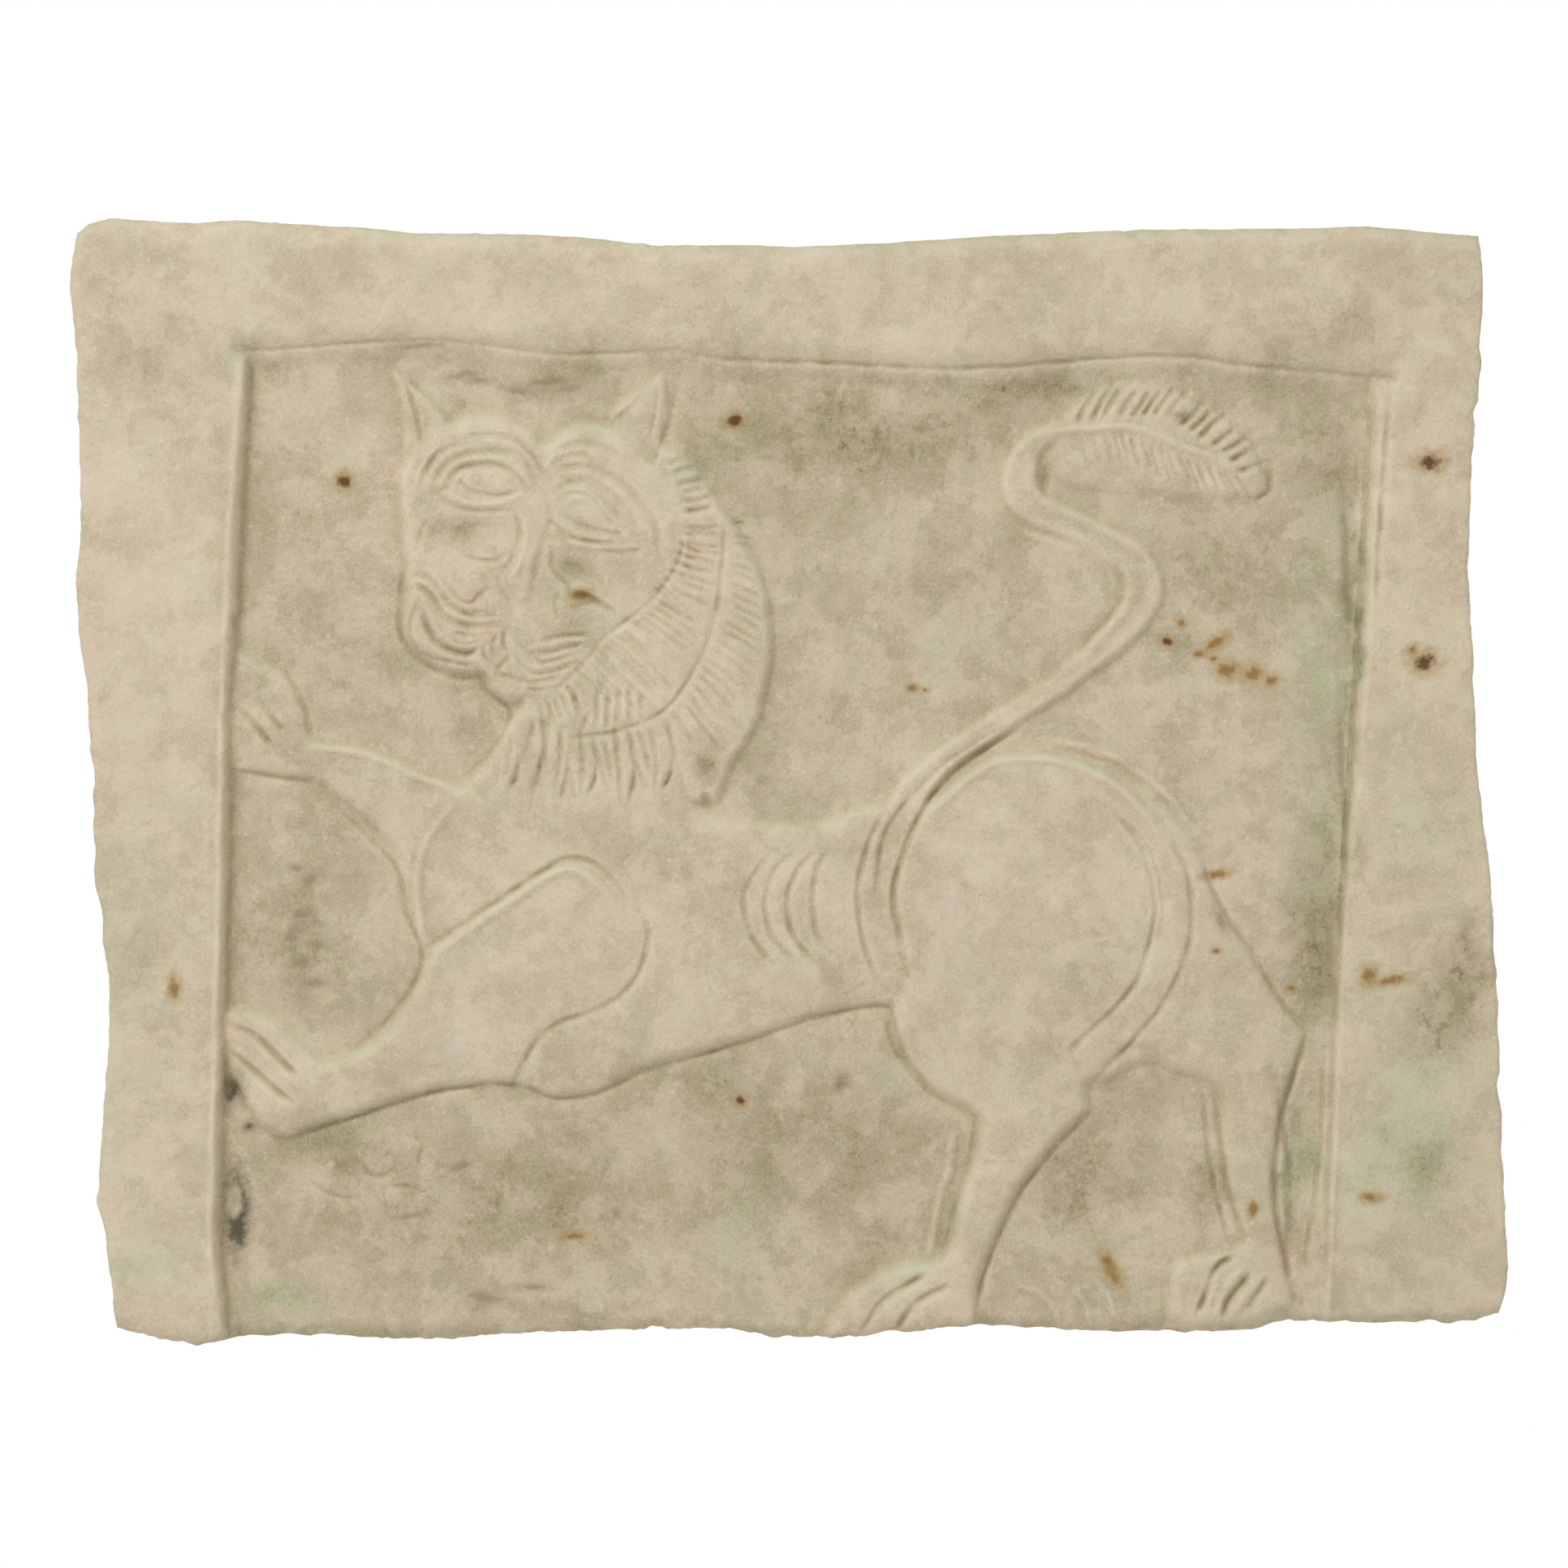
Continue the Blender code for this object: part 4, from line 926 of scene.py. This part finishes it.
# Broad tones: middle, half width and half height in pixels, and strength
GRIMY_AREAS = (
    ((1060, 535), 210, 66, 1.0), ((1240, 485), 160, 26, 1.0), ((1640, 560), 40, 110, 0.6),
    ((1340, 1460), 60, 100, 0.8),
    ((650, 470), 90, 14, 0.6), ((1500, 710), 150, 70, 0.6), ((620, 1500), 280, 90, 0.70),
    ((440, 1420), 120, 50, 0.6), ((870, 1340), 120, 60, 0.6), ((1050, 1400), 80, 110, 0.7),
    ((960, 1430), 150, 90, 0.6),
    ((1500, 790), 100, 50, 0.5), ((370, 1160), 50, 90, 0.8), ((868, 955), 20, 28, 1.0),
    ((705, 700), 34, 22, 0.9),
    ((560, 655), 40, 20, 0.8), ((1100, 1500), 80, 60, 0.4), ((1000, 880), 60, 80, 0.4),
    ((1640, 1100), 40, 200, 0.6),
    ((1618, 1160), 36, 150, 0.9), ((1600, 1440), 14, 130, 0.6), ((1790, 1230), 60, 90, 1.5),
    ((1810, 1160), 30, 50, 1.3), ((175, 450), 60, 90, 0.6), ((1230, 330), 60, 40, 0.4),
    ((1640, 400), 60, 40, 0.5), ((280, 540), 60, 160, 0.3), ((1560, 440), 120, 50, 0.4),
    ((1480, 1460), 40, 60, 0.7), ((690, 770), 36, 16, 0.5),
    ((1330, 1200), 60, 80, 0.4), ((1100, 1420), 60, 50, 0.4), ((1760, 1430), 80, 60, 0.5),
    ((170, 1180), 40, 60, 0.4),
    ((1668, 760), 12, 240, 0.8), ((140, 430), 60, 60, 0.3), ((700, 1620), 120, 20, 0.5),
    ((440, 1330), 60, 14, 0.2), ((1140, 700), 60, 40, 0.3),
)
GREEN_AREAS = (
    ((1630, 900), 50, 420, 0.9), ((1740, 1420), 130, 260, 0.8), ((1750, 1000), 90, 160, 0.5),
    ((160, 1230), 70, 340, 0.45), ((205, 988), 30, 18, 1.0), ((1190, 790), 90, 70, 0.5),
    ((960, 286), 900, 14, 1.0),
    ((615, 515), 62, 10, 0.7), ((725, 526), 60, 12, 0.7), ((850, 580), 40, 34, 0.8),
    ((905, 540), 50, 50, 0.7),
    ((1000, 1014), 130, 10, 0.7), ((1600, 1420), 26, 130, 0.9), ((1120, 1560), 70, 20, 0.6),
    ((1230, 940), 60, 14, 0.4),
    ((1500, 1570), 60, 40, 0.4), ((340, 1070), 22, 16, 1.0), ((1036, 1075), 10, 22, 1.0),
    ((1680, 720), 20, 200, 0.4),
    ((800, 475), 40, 14, 0.6), ((1370, 655), 60, 12, 0.7), ((1170, 900), 60, 10, 0.8),
    ((1560, 590), 14, 34, 0.8),
    ((1668, 800), 16, 280, 1.0), ((180, 1570), 60, 44, 1.0),
    ((340, 1605), 80, 34, 1.0), ((900, 1520), 60, 50, 1.0), ((1120, 1560), 50, 26, 0.9),
    ((1660, 640), 30, 120, 0.7),
    ((1100, 1330), 60, 40, 0.5), ((1180, 1500), 30, 50, 0.5), ((320, 800), 30, 12, 0.6),
    ((290, 440), 30, 40, 0.6), ((600, 985), 60, 30, 0.3), ((560, 700), 34, 12, 0.4),
)
# Paler places: worn, rubbed stone, and painted highlights along edges that face the light, such as the tops
# of the foreleg, shoulder, back and haunch and the panel's right wall
WORN_AND_HIGHLIGHT_AREAS = (
    ((560, 1285), 130, 50, 0.9), ((1230, 1010), 24, 34, 0.8), ((640, 380), 260, 40, 0.5),
    ((200, 700), 70, 160, 0.6),
    ((350, 1350), 40, 40, 0.6), ((1140, 915), 60, 14, 0.9), ((640, 1175), 70, 50, 0.4),
    ((960, 1610), 120, 26, 0.8),
    ((1290, 1480), 50, 60, 0.4), ((1470, 380), 260, 34, 0.4), ((600, 595), 60, 50, 0.4),
    ((480, 1130), 26, 90, 0.7),
    ((1540, 1270), 50, 50, 0.5), ((1340, 650), 50, 16, 0.6), ((500, 935), 70, 14, 1.0),
    ((620, 1108), 90, 10, 0.8),
    ((820, 640), 14, 60, 0.7), ((350, 860), 16, 40, 0.7), ((600, 550), 70, 16, 0.5),
    ((1480, 1250), 50, 60, 0.4),
    ((1280, 935), 90, 14, 0.7), ((1450, 1480), 60, 40, 0.3), ((900, 700), 40, 120, 0.4),
    ((1698, 580), 5, 120, 1.0), ((1680, 500), 14, 220, 0.5),
)
BLOOM_AREAS = (
    ((1184, 1120), 34, 40, 1.0), ((1228, 1015), 16, 24, 0.7), ((1120, 325), 120, 20, 0.7),
    ((1240, 340), 50, 20, 0.7),
    ((560, 1285), 100, 36, 0.9), ((1450, 390), 70, 20, 0.5), ((700, 495), 60, 14, 0.5),
    ((460, 1180), 40, 70, 0.4),
    ((840, 610), 22, 30, 0.5), ((1030, 960), 100, 16, 0.4), ((190, 660), 60, 70, 0.3),
    ((640, 1650), 50, 10, 0.6),
)
# Damp, dark patches, and painted shadow down the panel's left wall, which faces away from the light
DAMP_AND_SHADE_AREAS = (
    ((287, 1482), 11, 28, 1.0), ((290, 1352), 11, 24, 1.0), ((290, 1150), 5, 110, 0.3),
    ((291, 860), 6, 70, 0.3),
    ((294, 980), 6, 40, 0.4), ((376, 1128), 12, 9, 0.8), ((362, 1146), 14, 6, 0.5), ((384, 1212), 18, 7, 0.6),
    ((1035, 1336), 7, 12, 0.7), ((308, 560), 5, 140, 0.6), ((299, 740), 5, 90, 0.6),
    ((605, 1605), 24, 14, 0.6), ((1640, 1632), 260, 9, 0.5),
    ((724, 740), 16, 7, 0.6), ((1668, 800), 6, 220, 0.45), ((1700, 470), 30, 5, 0.3),
    ((1590, 1440), 6, 90, 0.4), ((1290, 590), 6, 20, 0.7),
    ((1216, 1620), 8, 30, 0.6), ((287, 1640), 7, 20, 0.7), ((1498, 1490), 9, 12, 0.7),
    ((1640, 1560), 10, 60, 0.4),
)

# How pale the ground and the border are, the ground's lower tone partly painted shade, and how far each kind
# of place moves from that, with painted highlights and painted shade among them
GROUND_TONE = 0.57
BORDER_TONE = 0.72
WORN_AND_HIGHLIGHT_TONE = 0.11
GRIME_TONE = 0.30
CREST_HIGHLIGHT_TONE = 0.14
LEDGE_HIGHLIGHT_TONE = 0.16
FOOT_SHADE_TONE = 0.10
GROOVE_SHADE_TONE = 0.06
SIDE_TONE = 0.52
LEDGE_SLOPE = 0.8
CREST_DEPTH = 0.0004
GROOVE_DEPTH = 0.0005
HOLLOW_REACH = 0.0014
RIM_CALM = 0.0040


def tone(areas, x, z):
    """The strongest of several soft ovals at every place, their edges made ragged by noise."""
    ragged_x = x + 0.007 * cloud(x, z, 0.016, 61) + 0.003 * cloud(x, z, 0.005, 63)
    ragged_z = z + 0.007 * cloud(x, z, 0.016, 62) + 0.003 * cloud(x, z, 0.005, 64)
    total = np.zeros(x.shape)
    for middle, half_width, half_height, strength in areas:
        total = np.maximum(total, strength * soft_oval(ragged_x, ragged_z, middle, half_width, half_height))
    return total


def finish_values(mesh, height):
    """Point values that the stone's colours read: hollows, crests, ledges that face up, and broad tones, with
    painted shade in hollows, grooves and at the foot and painted highlights on crests, ledges and lit edges.
    """
    co = np.empty(len(mesh.vertices) * 3, np.float32)
    mesh.vertices.foreach_get("co", co)
    x, y, z = co.reshape(-1, 3).T.astype(float)
    edges = edge_lines()
    left, right = side_limits(z, edges)
    bottom, top = upright_limits(x, edges)
    u, v = (x - left) / (right - left), (z - bottom) / (top - bottom)
    near = max(round(HOLLOW_REACH / SAMPLE_SPACING), 1)
    to_rim = np.minimum(np.minimum(x - left, right - x), np.minimum(top - z, z - bottom))
    calm = np.clip(to_rim / RIM_CALM, 0.0, 1.0)
    hollow = calm * look_up(blurred(height, near) - height, u, v)
    slope = look_up(np.gradient(blurred(height, 1), axis=0) / SAMPLE_SPACING, u, v)
    raised = np.clip((-y - (THICKNESS - PANEL_DEPTH)) / PANEL_DEPTH, -1.0, 1.0)
    on_face = np.clip((raised + 0.6) * 2.0, 0.0, 1.0)
    # The sunk ground is darker than the raised border: partly grimier stone, partly painted shade
    level = GROUND_TONE + (BORDER_TONE - GROUND_TONE) * np.clip(raised, 0.0, 1.0)
    # Paler where worn and where highlights are painted on lit edges, darker where grimy
    level += WORN_AND_HIGHLIGHT_TONE * tone(WORN_AND_HIGHLIGHT_AREAS, x, z) - GRIME_TONE * tone(GRIMY_AREAS, x, z)
    # Painted highlights: up-facing ledges and convex crests are made paler; the ledges also take some green
    # film
    ledge = np.clip(-slope / LEDGE_SLOPE, 0.0, 1.0)
    level += np.clip(-hollow / CREST_DEPTH, 0.0, 1.0) * CREST_HIGHLIGHT_TONE + ledge * LEDGE_HIGHLIGHT_TONE
    # Painted shade: darker towards the foot, where the worn edge turns down away from the light
    level -= FOOT_SHADE_TONE * np.clip(1.0 - (z - bottom) / FOOT_WEAR[0], 0.0, 1.0)
    # Painted shade: darker down in grooves and cut lines
    level -= np.clip(hollow / GROOVE_DEPTH, 0.0, 1.0) * GROOVE_SHADE_TONE
    add_values(mesh, "front", on_face)
    add_values(mesh, "level", on_face * level + (1.0 - on_face) * SIDE_TONE)
    green = np.maximum(tone(GREEN_AREAS, x, z) * 0.9, ledge * 0.45)
    add_values(mesh, "green", on_face * green + (1.0 - on_face) * 0.15)
    add_values(mesh, "bloom", on_face * tone(BLOOM_AREAS, x, z))
    add_values(mesh, "soiled", on_face * tone(GRIMY_AREAS + DAMP_AND_SHADE_AREAS, x, z) + (1.0 - on_face) * 0.5)
    # Painted warm shade: how deep a place lies in a hollow, read by the stone's hollow tint
    add_values(mesh, "hollow", on_face * np.clip(hollow / 0.0015 - 0.10, 0.0, 1.0))
    # Painted shade: the damp colour is also laid into the deeper grooves
    groove_shade = np.clip(hollow / 0.0018 - 0.35, 0.0, 0.3)
    add_values(mesh, "damp_and_shade", on_face * np.maximum(tone(DAMP_AND_SHADE_AREAS, x, z), groove_shade))


class Nodes:
    """Short ways to add and join shader nodes in one tree."""

    def __init__(self, tree):
        self.tree = tree

    def add(self, kind, **settings):
        node = self.tree.nodes.new(kind)
        for key, value in settings.items():
            setattr(node, key, value)
        return node

    def feed(self, node, socket, value):
        if isinstance(value, bpy.types.NodeSocket):
            self.tree.links.new(value, node.inputs[socket])
        else:
            node.inputs[socket].default_value = value

    def attribute(self, name):
        return self.add("ShaderNodeAttribute", attribute_name=name).outputs["Fac"]

    def noise(self, vector, scale, detail=4.0, roughness=0.55, distortion=0.0):
        node = self.add("ShaderNodeTexNoise")
        self.feed(node, "Vector", vector)
        self.feed(node, "Scale", scale)
        self.feed(node, "Detail", detail)
        self.feed(node, "Roughness", roughness)
        self.feed(node, "Distortion", distortion)
        return node.outputs["Fac"]

    def math(self, operation, *values, clamp=False):
        node = self.add("ShaderNodeMath", operation=operation, use_clamp=clamp)
        for k, value in enumerate(values):
            self.feed(node, k, value)
        return node.outputs[0]

    def spread(self, value, start, end, low=0.0, high=1.0):
        """A value moved smoothly from low at start to high at end."""
        node = self.add("ShaderNodeMapRange", interpolation_type="SMOOTHSTEP")
        sockets = ("Value", "From Min", "From Max", "To Min", "To Max")
        for socket, number in zip(sockets, (value, start, end, low, high)):
            self.feed(node, socket, number)
        return node.outputs["Result"]

    def mix(self, share, first, second, blend="MIX"):
        node = self.add("ShaderNodeMix", data_type="RGBA", blend_type=blend)
        self.feed(node, 0, share)
        self.feed(node, 6, first)
        self.feed(node, 7, second)
        return node.outputs[2]


def stain_group():
    """A node group: how far into an oval stain a place is, with its edge eaten by a given noise."""
    group = bpy.data.node_groups.new("Oval stain", "ShaderNodeTree")
    for name, kind in (
        ("Place", "NodeSocketVector"), ("Middle", "NodeSocketVector"), ("Half Length", "NodeSocketFloat"),
        ("Half Width", "NodeSocketFloat"), ("Turn", "NodeSocketFloat"), ("Eaten", "NodeSocketFloat"),
    ):
        group.interface.new_socket(name, in_out="INPUT", socket_type=kind)
    group.interface.new_socket("Mask", in_out="OUTPUT", socket_type="NodeSocketFloat")
    group.interface.new_socket("Halo", in_out="OUTPUT", socket_type="NodeSocketFloat")
    n = Nodes(group)
    given, result = n.add("NodeGroupInput"), n.add("NodeGroupOutput")
    offset = n.add("ShaderNodeVectorMath", operation="SUBTRACT")
    n.feed(offset, 0, given.outputs["Place"])
    n.feed(offset, 1, given.outputs["Middle"])
    turned = n.add("ShaderNodeVectorRotate", rotation_type="Y_AXIS")
    n.feed(turned, "Vector", offset.outputs[0])
    n.feed(turned, "Angle", given.outputs["Turn"])
    parts = n.add("ShaderNodeSeparateXYZ")
    n.feed(parts, 0, turned.outputs[0])
    along = n.math("DIVIDE", parts.outputs["X"], given.outputs["Half Length"])
    across = n.math("DIVIDE", parts.outputs["Z"], given.outputs["Half Width"])
    away = n.math("SQRT", n.math("ADD", n.math("MULTIPLY", along, along), n.math("MULTIPLY", across, across)))
    away = n.math("ADD", away, given.outputs["Eaten"])
    n.feed(result, "Mask", n.spread(away, 1.15, 0.35))
    n.feed(result, "Halo", n.spread(away, 2.3, 0.7))
    return group


def stone_level(n, where):
    """How pale the stone is: the stored level, moved by noise of several sizes and by a crisp-edged crust."""
    level = n.attribute("level")
    for scale, detail, roughness, distortion, strength in MOTTLING:
        drift = n.math("SUBTRACT", n.noise(where, scale, detail, roughness, distortion), 0.5)
        level = n.math("ADD", level, n.math("MULTIPLY", drift, strength))
    crust = n.spread(n.noise(where, 44.0, 8.0, 0.74, 0.2), 0.46, 0.54, -0.075, 0.075)
    specks = n.math("MULTIPLY", n.spread(n.noise(where, 210.0, 4.0, 0.65), 0.56, 0.64), n.attribute("soiled"))
    pale_specks = n.spread(n.noise(where, 260.0, 3.0, 0.6), 0.64, 0.72)
    level = n.math("SUBTRACT", level, n.math("MULTIPLY", specks, 0.22))
    level = n.math("ADD", level, n.math("MULTIPLY", pale_specks, 0.18))
    return n.math("ADD", level, crust, clamp=True)


def stained(n, where, colour):
    """The colour with every stain laid on: iron stains have a darker middle in a yellow-brown halo."""
    group = stain_group()
    eaten = n.math("MULTIPLY", n.math("SUBTRACT", n.noise(where, 330.0, 4.0, 0.6), 0.5), 1.9)
    behind = n.math("SUBTRACT", 1.0, n.attribute("front"))
    eaten = n.math("ADD", eaten, n.math("MULTIPLY", behind, 5.0))
    stains = [(stain, SOOT, 0.25, SOOT, 0.50) for stain in SOOT_STAINS]
    stains += [(stain, PITCH, 0.35, PITCH, 0.85) for stain in PITCH_STAINS]
    stains += [(stain, RUST_HALO, 0.60, RUST, 0.92) for stain in RUST_STAINS]
    stains += [(stain, OCHRE_HALO, 0.65, OCHRE, 0.85) for stain in OCHRE_STAINS]
    for (middle, half_length, half_width, turn), halo, halo_share, tint, share in stains:
        stain = n.add("ShaderNodeGroup", node_tree=group)
        x, z = place(middle)
        n.feed(stain, "Place", where)
        n.feed(stain, "Middle", (x, -THICKNESS, z))
        n.feed(stain, "Half Length", half_length * PIXEL)
        n.feed(stain, "Half Width", half_width * PIXEL)
        n.feed(stain, "Turn", math.radians(turn))
        n.feed(stain, "Eaten", eaten)
        colour = n.mix(n.math("MULTIPLY", stain.outputs["Halo"], halo_share), colour, halo)
        colour = n.mix(n.math("MULTIPLY", stain.outputs["Mask"], share), colour, tint)
    return colour


def stone():
    """Weathered limestone: mottled by age, with a green film, pale bloom, damp marks, iron stains, and
    painted shade in hollows, in grooves and down the panel's left wall.
    """
    material = bpy.data.materials.new("Weathered limestone")
    material.use_nodes = True
    n = Nodes(material.node_tree)
    shader = material.node_tree.nodes["Principled BSDF"]
    where = n.add("ShaderNodeTexCoord").outputs["Object"]
    level = stone_level(n, where)
    ramp = n.add("ShaderNodeValToRGB")
    n.feed(ramp, "Fac", level)
    stops = ramp.color_ramp.elements
    stops[0].color, stops[1].color = STONE_RAMP[0][1], STONE_RAMP[-1][1]
    for position, tint in STONE_RAMP[1:-1]:
        stops.new(position).color = tint
    ragged = n.spread(n.noise(where, 60.0, 7.0, 0.7), 0.34, 0.62, 0.25, 1.0)
    drift = n.spread(n.noise(where, 34.0, 8.0, 0.74, 0.6), 0.38, 0.62)
    tint = n.mix(drift, MOSSY_TINT, ROSY_TINT)
    colour = n.mix(1.0, ramp.outputs["Color"], tint, "MULTIPLY")
    # The damp colour also carries painted shade, down the left wall and in grooves
    for name, tint, strength, blend in (
        ("green", GREEN_FILM, GREEN_SHARE, "MULTIPLY"),
        ("bloom", BLOOM, BLOOM_SHARE, "MIX"),
        ("damp_and_shade", DAMP_AND_SHADE_STONE, DAMP_AND_SHADE_SHARE, "MIX"),
    ):
        share = n.math("MULTIPLY", n.math("MULTIPLY", n.attribute(name), ragged), strength, clamp=True)
        colour = n.mix(share, colour, tint, blend)
    # Painted warm shade: darker and warmer in the carving's hollows
    colour = n.mix(n.attribute("hollow"), colour, HOLLOW_SHADE_TINT, "MULTIPLY")
    n.feed(shader, "Base Color", stained(n, where, colour))
    n.feed(shader, "Roughness", n.spread(level, 0.2, 0.8, 0.95, 0.86))
    shader.inputs["Metallic"].default_value = 0.0
    shader.inputs["Specular IOR Level"].default_value = 0.25
    grain = n.noise(where, GRAIN_SCALE, 6.0, 0.75)
    pits = n.add("ShaderNodeTexVoronoi", feature="F1")
    n.feed(pits, "Vector", where)
    n.feed(pits, "Scale", PIT_SCALE)
    pitting = n.spread(pits.outputs["Distance"], 0.0, 0.25)
    relief = n.math("ADD", grain, n.math("MULTIPLY", pitting, PIT_SHARE))
    bump = n.add("ShaderNodeBump")
    n.feed(bump, "Height", relief)
    bump.inputs["Strength"].default_value = BUMP_STRENGTH
    bump.inputs["Distance"].default_value = BUMP_DISTANCE
    n.feed(shader, "Normal", bump.outputs["Normal"])
    return material


def carved_slab():
    vertices, faces, height = sampled_shell()
    mesh = thinned(vertices, faces, TRIANGLES)
    close_back(mesh)
    finish_values(mesh, height)
    mesh.name = "carved_slab"
    mesh.materials.append(stone())
    slab = bpy.data.objects.new("carved_slab", mesh)
    bpy.context.scene.collection.objects.link(slab)
    return slab


# Floor, lights and camera, in metres
FLOOR_LEVEL = -0.75
FLOOR_SIZE = 4.4
FLOOR_COLOUR = (0.92, 0.92, 0.91, 1.0)
AMBIENT = 0.56
KEY_POWER = 38.0
KEY_SIZE = 1.2
KEY_PLACE = (-1.20, -2.10, 1.75)
FILL_POWER = 4.0
FILL_PLACE = (1.7, -2.4, 0.2)
PICTURE_SIZE = 1932
CAMERA_DISTANCE = 2.72
SENSOR = 36.0


def add_floor():
    half = FLOOR_SIZE / 2
    corners = [(sx * half, sy * half, FLOOR_LEVEL) for sx, sy in ((-1, -1), (1, -1), (1, 1), (-1, 1))]
    mesh = bpy.data.meshes.new("floor")
    mesh.from_pydata(corners, [], [(0, 1, 2, 3)])
    floor = bpy.data.objects.new("floor", mesh)
    bpy.context.scene.collection.objects.link(floor)
    material = bpy.data.materials.new("Pale floor")
    material.use_nodes = True
    shader = material.node_tree.nodes["Principled BSDF"]
    shader.inputs["Base Color"].default_value = FLOOR_COLOUR
    shader.inputs["Roughness"].default_value = 0.85
    mesh.materials.append(material)


def aim(thing, target):
    """Turns a camera or lamp so that its -Z looks at the target."""
    away = np.array(thing.location) - np.array(target)
    flat = math.hypot(away[0], away[1])
    thing.rotation_euler = (math.atan2(flat, away[2]), 0.0, math.atan2(away[0], -away[1]))


def add_light(name, power, size, spot):
    lamp = bpy.data.lights.new(name, "AREA")
    lamp.energy, lamp.size = power, size
    light = bpy.data.objects.new(name, lamp)
    light.location = spot
    aim(light, (0.0, 0.0, 0.0))
    bpy.context.scene.collection.objects.link(light)


def add_surroundings():
    """A white backdrop to the eye that lights the stone more softly, as a room with white walls does."""
    world = bpy.data.worlds.new("White studio")
    world.use_nodes = True
    n = Nodes(world.node_tree)
    back = world.node_tree.nodes["Background"]
    back.inputs["Color"].default_value = (1.0, 1.0, 1.0, 1.0)
    seen = n.add("ShaderNodeLightPath").outputs["Is Camera Ray"]
    n.feed(back, "Strength", n.spread(seen, 0.0, 1.0, AMBIENT, 1.0))
    bpy.context.scene.world = world
    bpy.context.scene.view_settings.view_transform = "Standard"


def add_camera():
    """Looks straight at the slab from far off, so that the drawn pixels fall where the picture has them."""
    camera = bpy.data.cameras.new("camera")
    camera.sensor_width = SENSOR
    camera.lens = CAMERA_DISTANCE * SENSOR / (PICTURE_SIZE * PIXEL)
    eye = bpy.data.objects.new("camera", camera)
    x, z = (PICTURE_SIZE / 2 - DRAWN_MIDDLE[0]) * PIXEL, (DRAWN_MIDDLE[1] - PICTURE_SIZE / 2) * PIXEL
    eye.location = (x, -THICKNESS - CAMERA_DISTANCE, z)
    eye.rotation_euler = (math.pi / 2, 0.0, 0.0)
    bpy.context.scene.collection.objects.link(eye)
    bpy.context.scene.camera = eye


slab = carved_slab()
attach(slab, "root")
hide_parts("relief_slab")
add_floor()
add_surroundings()
add_light("key", KEY_POWER, KEY_SIZE, KEY_PLACE)
add_light("fill", FILL_POWER, KEY_SIZE, FILL_PLACE)
add_camera()
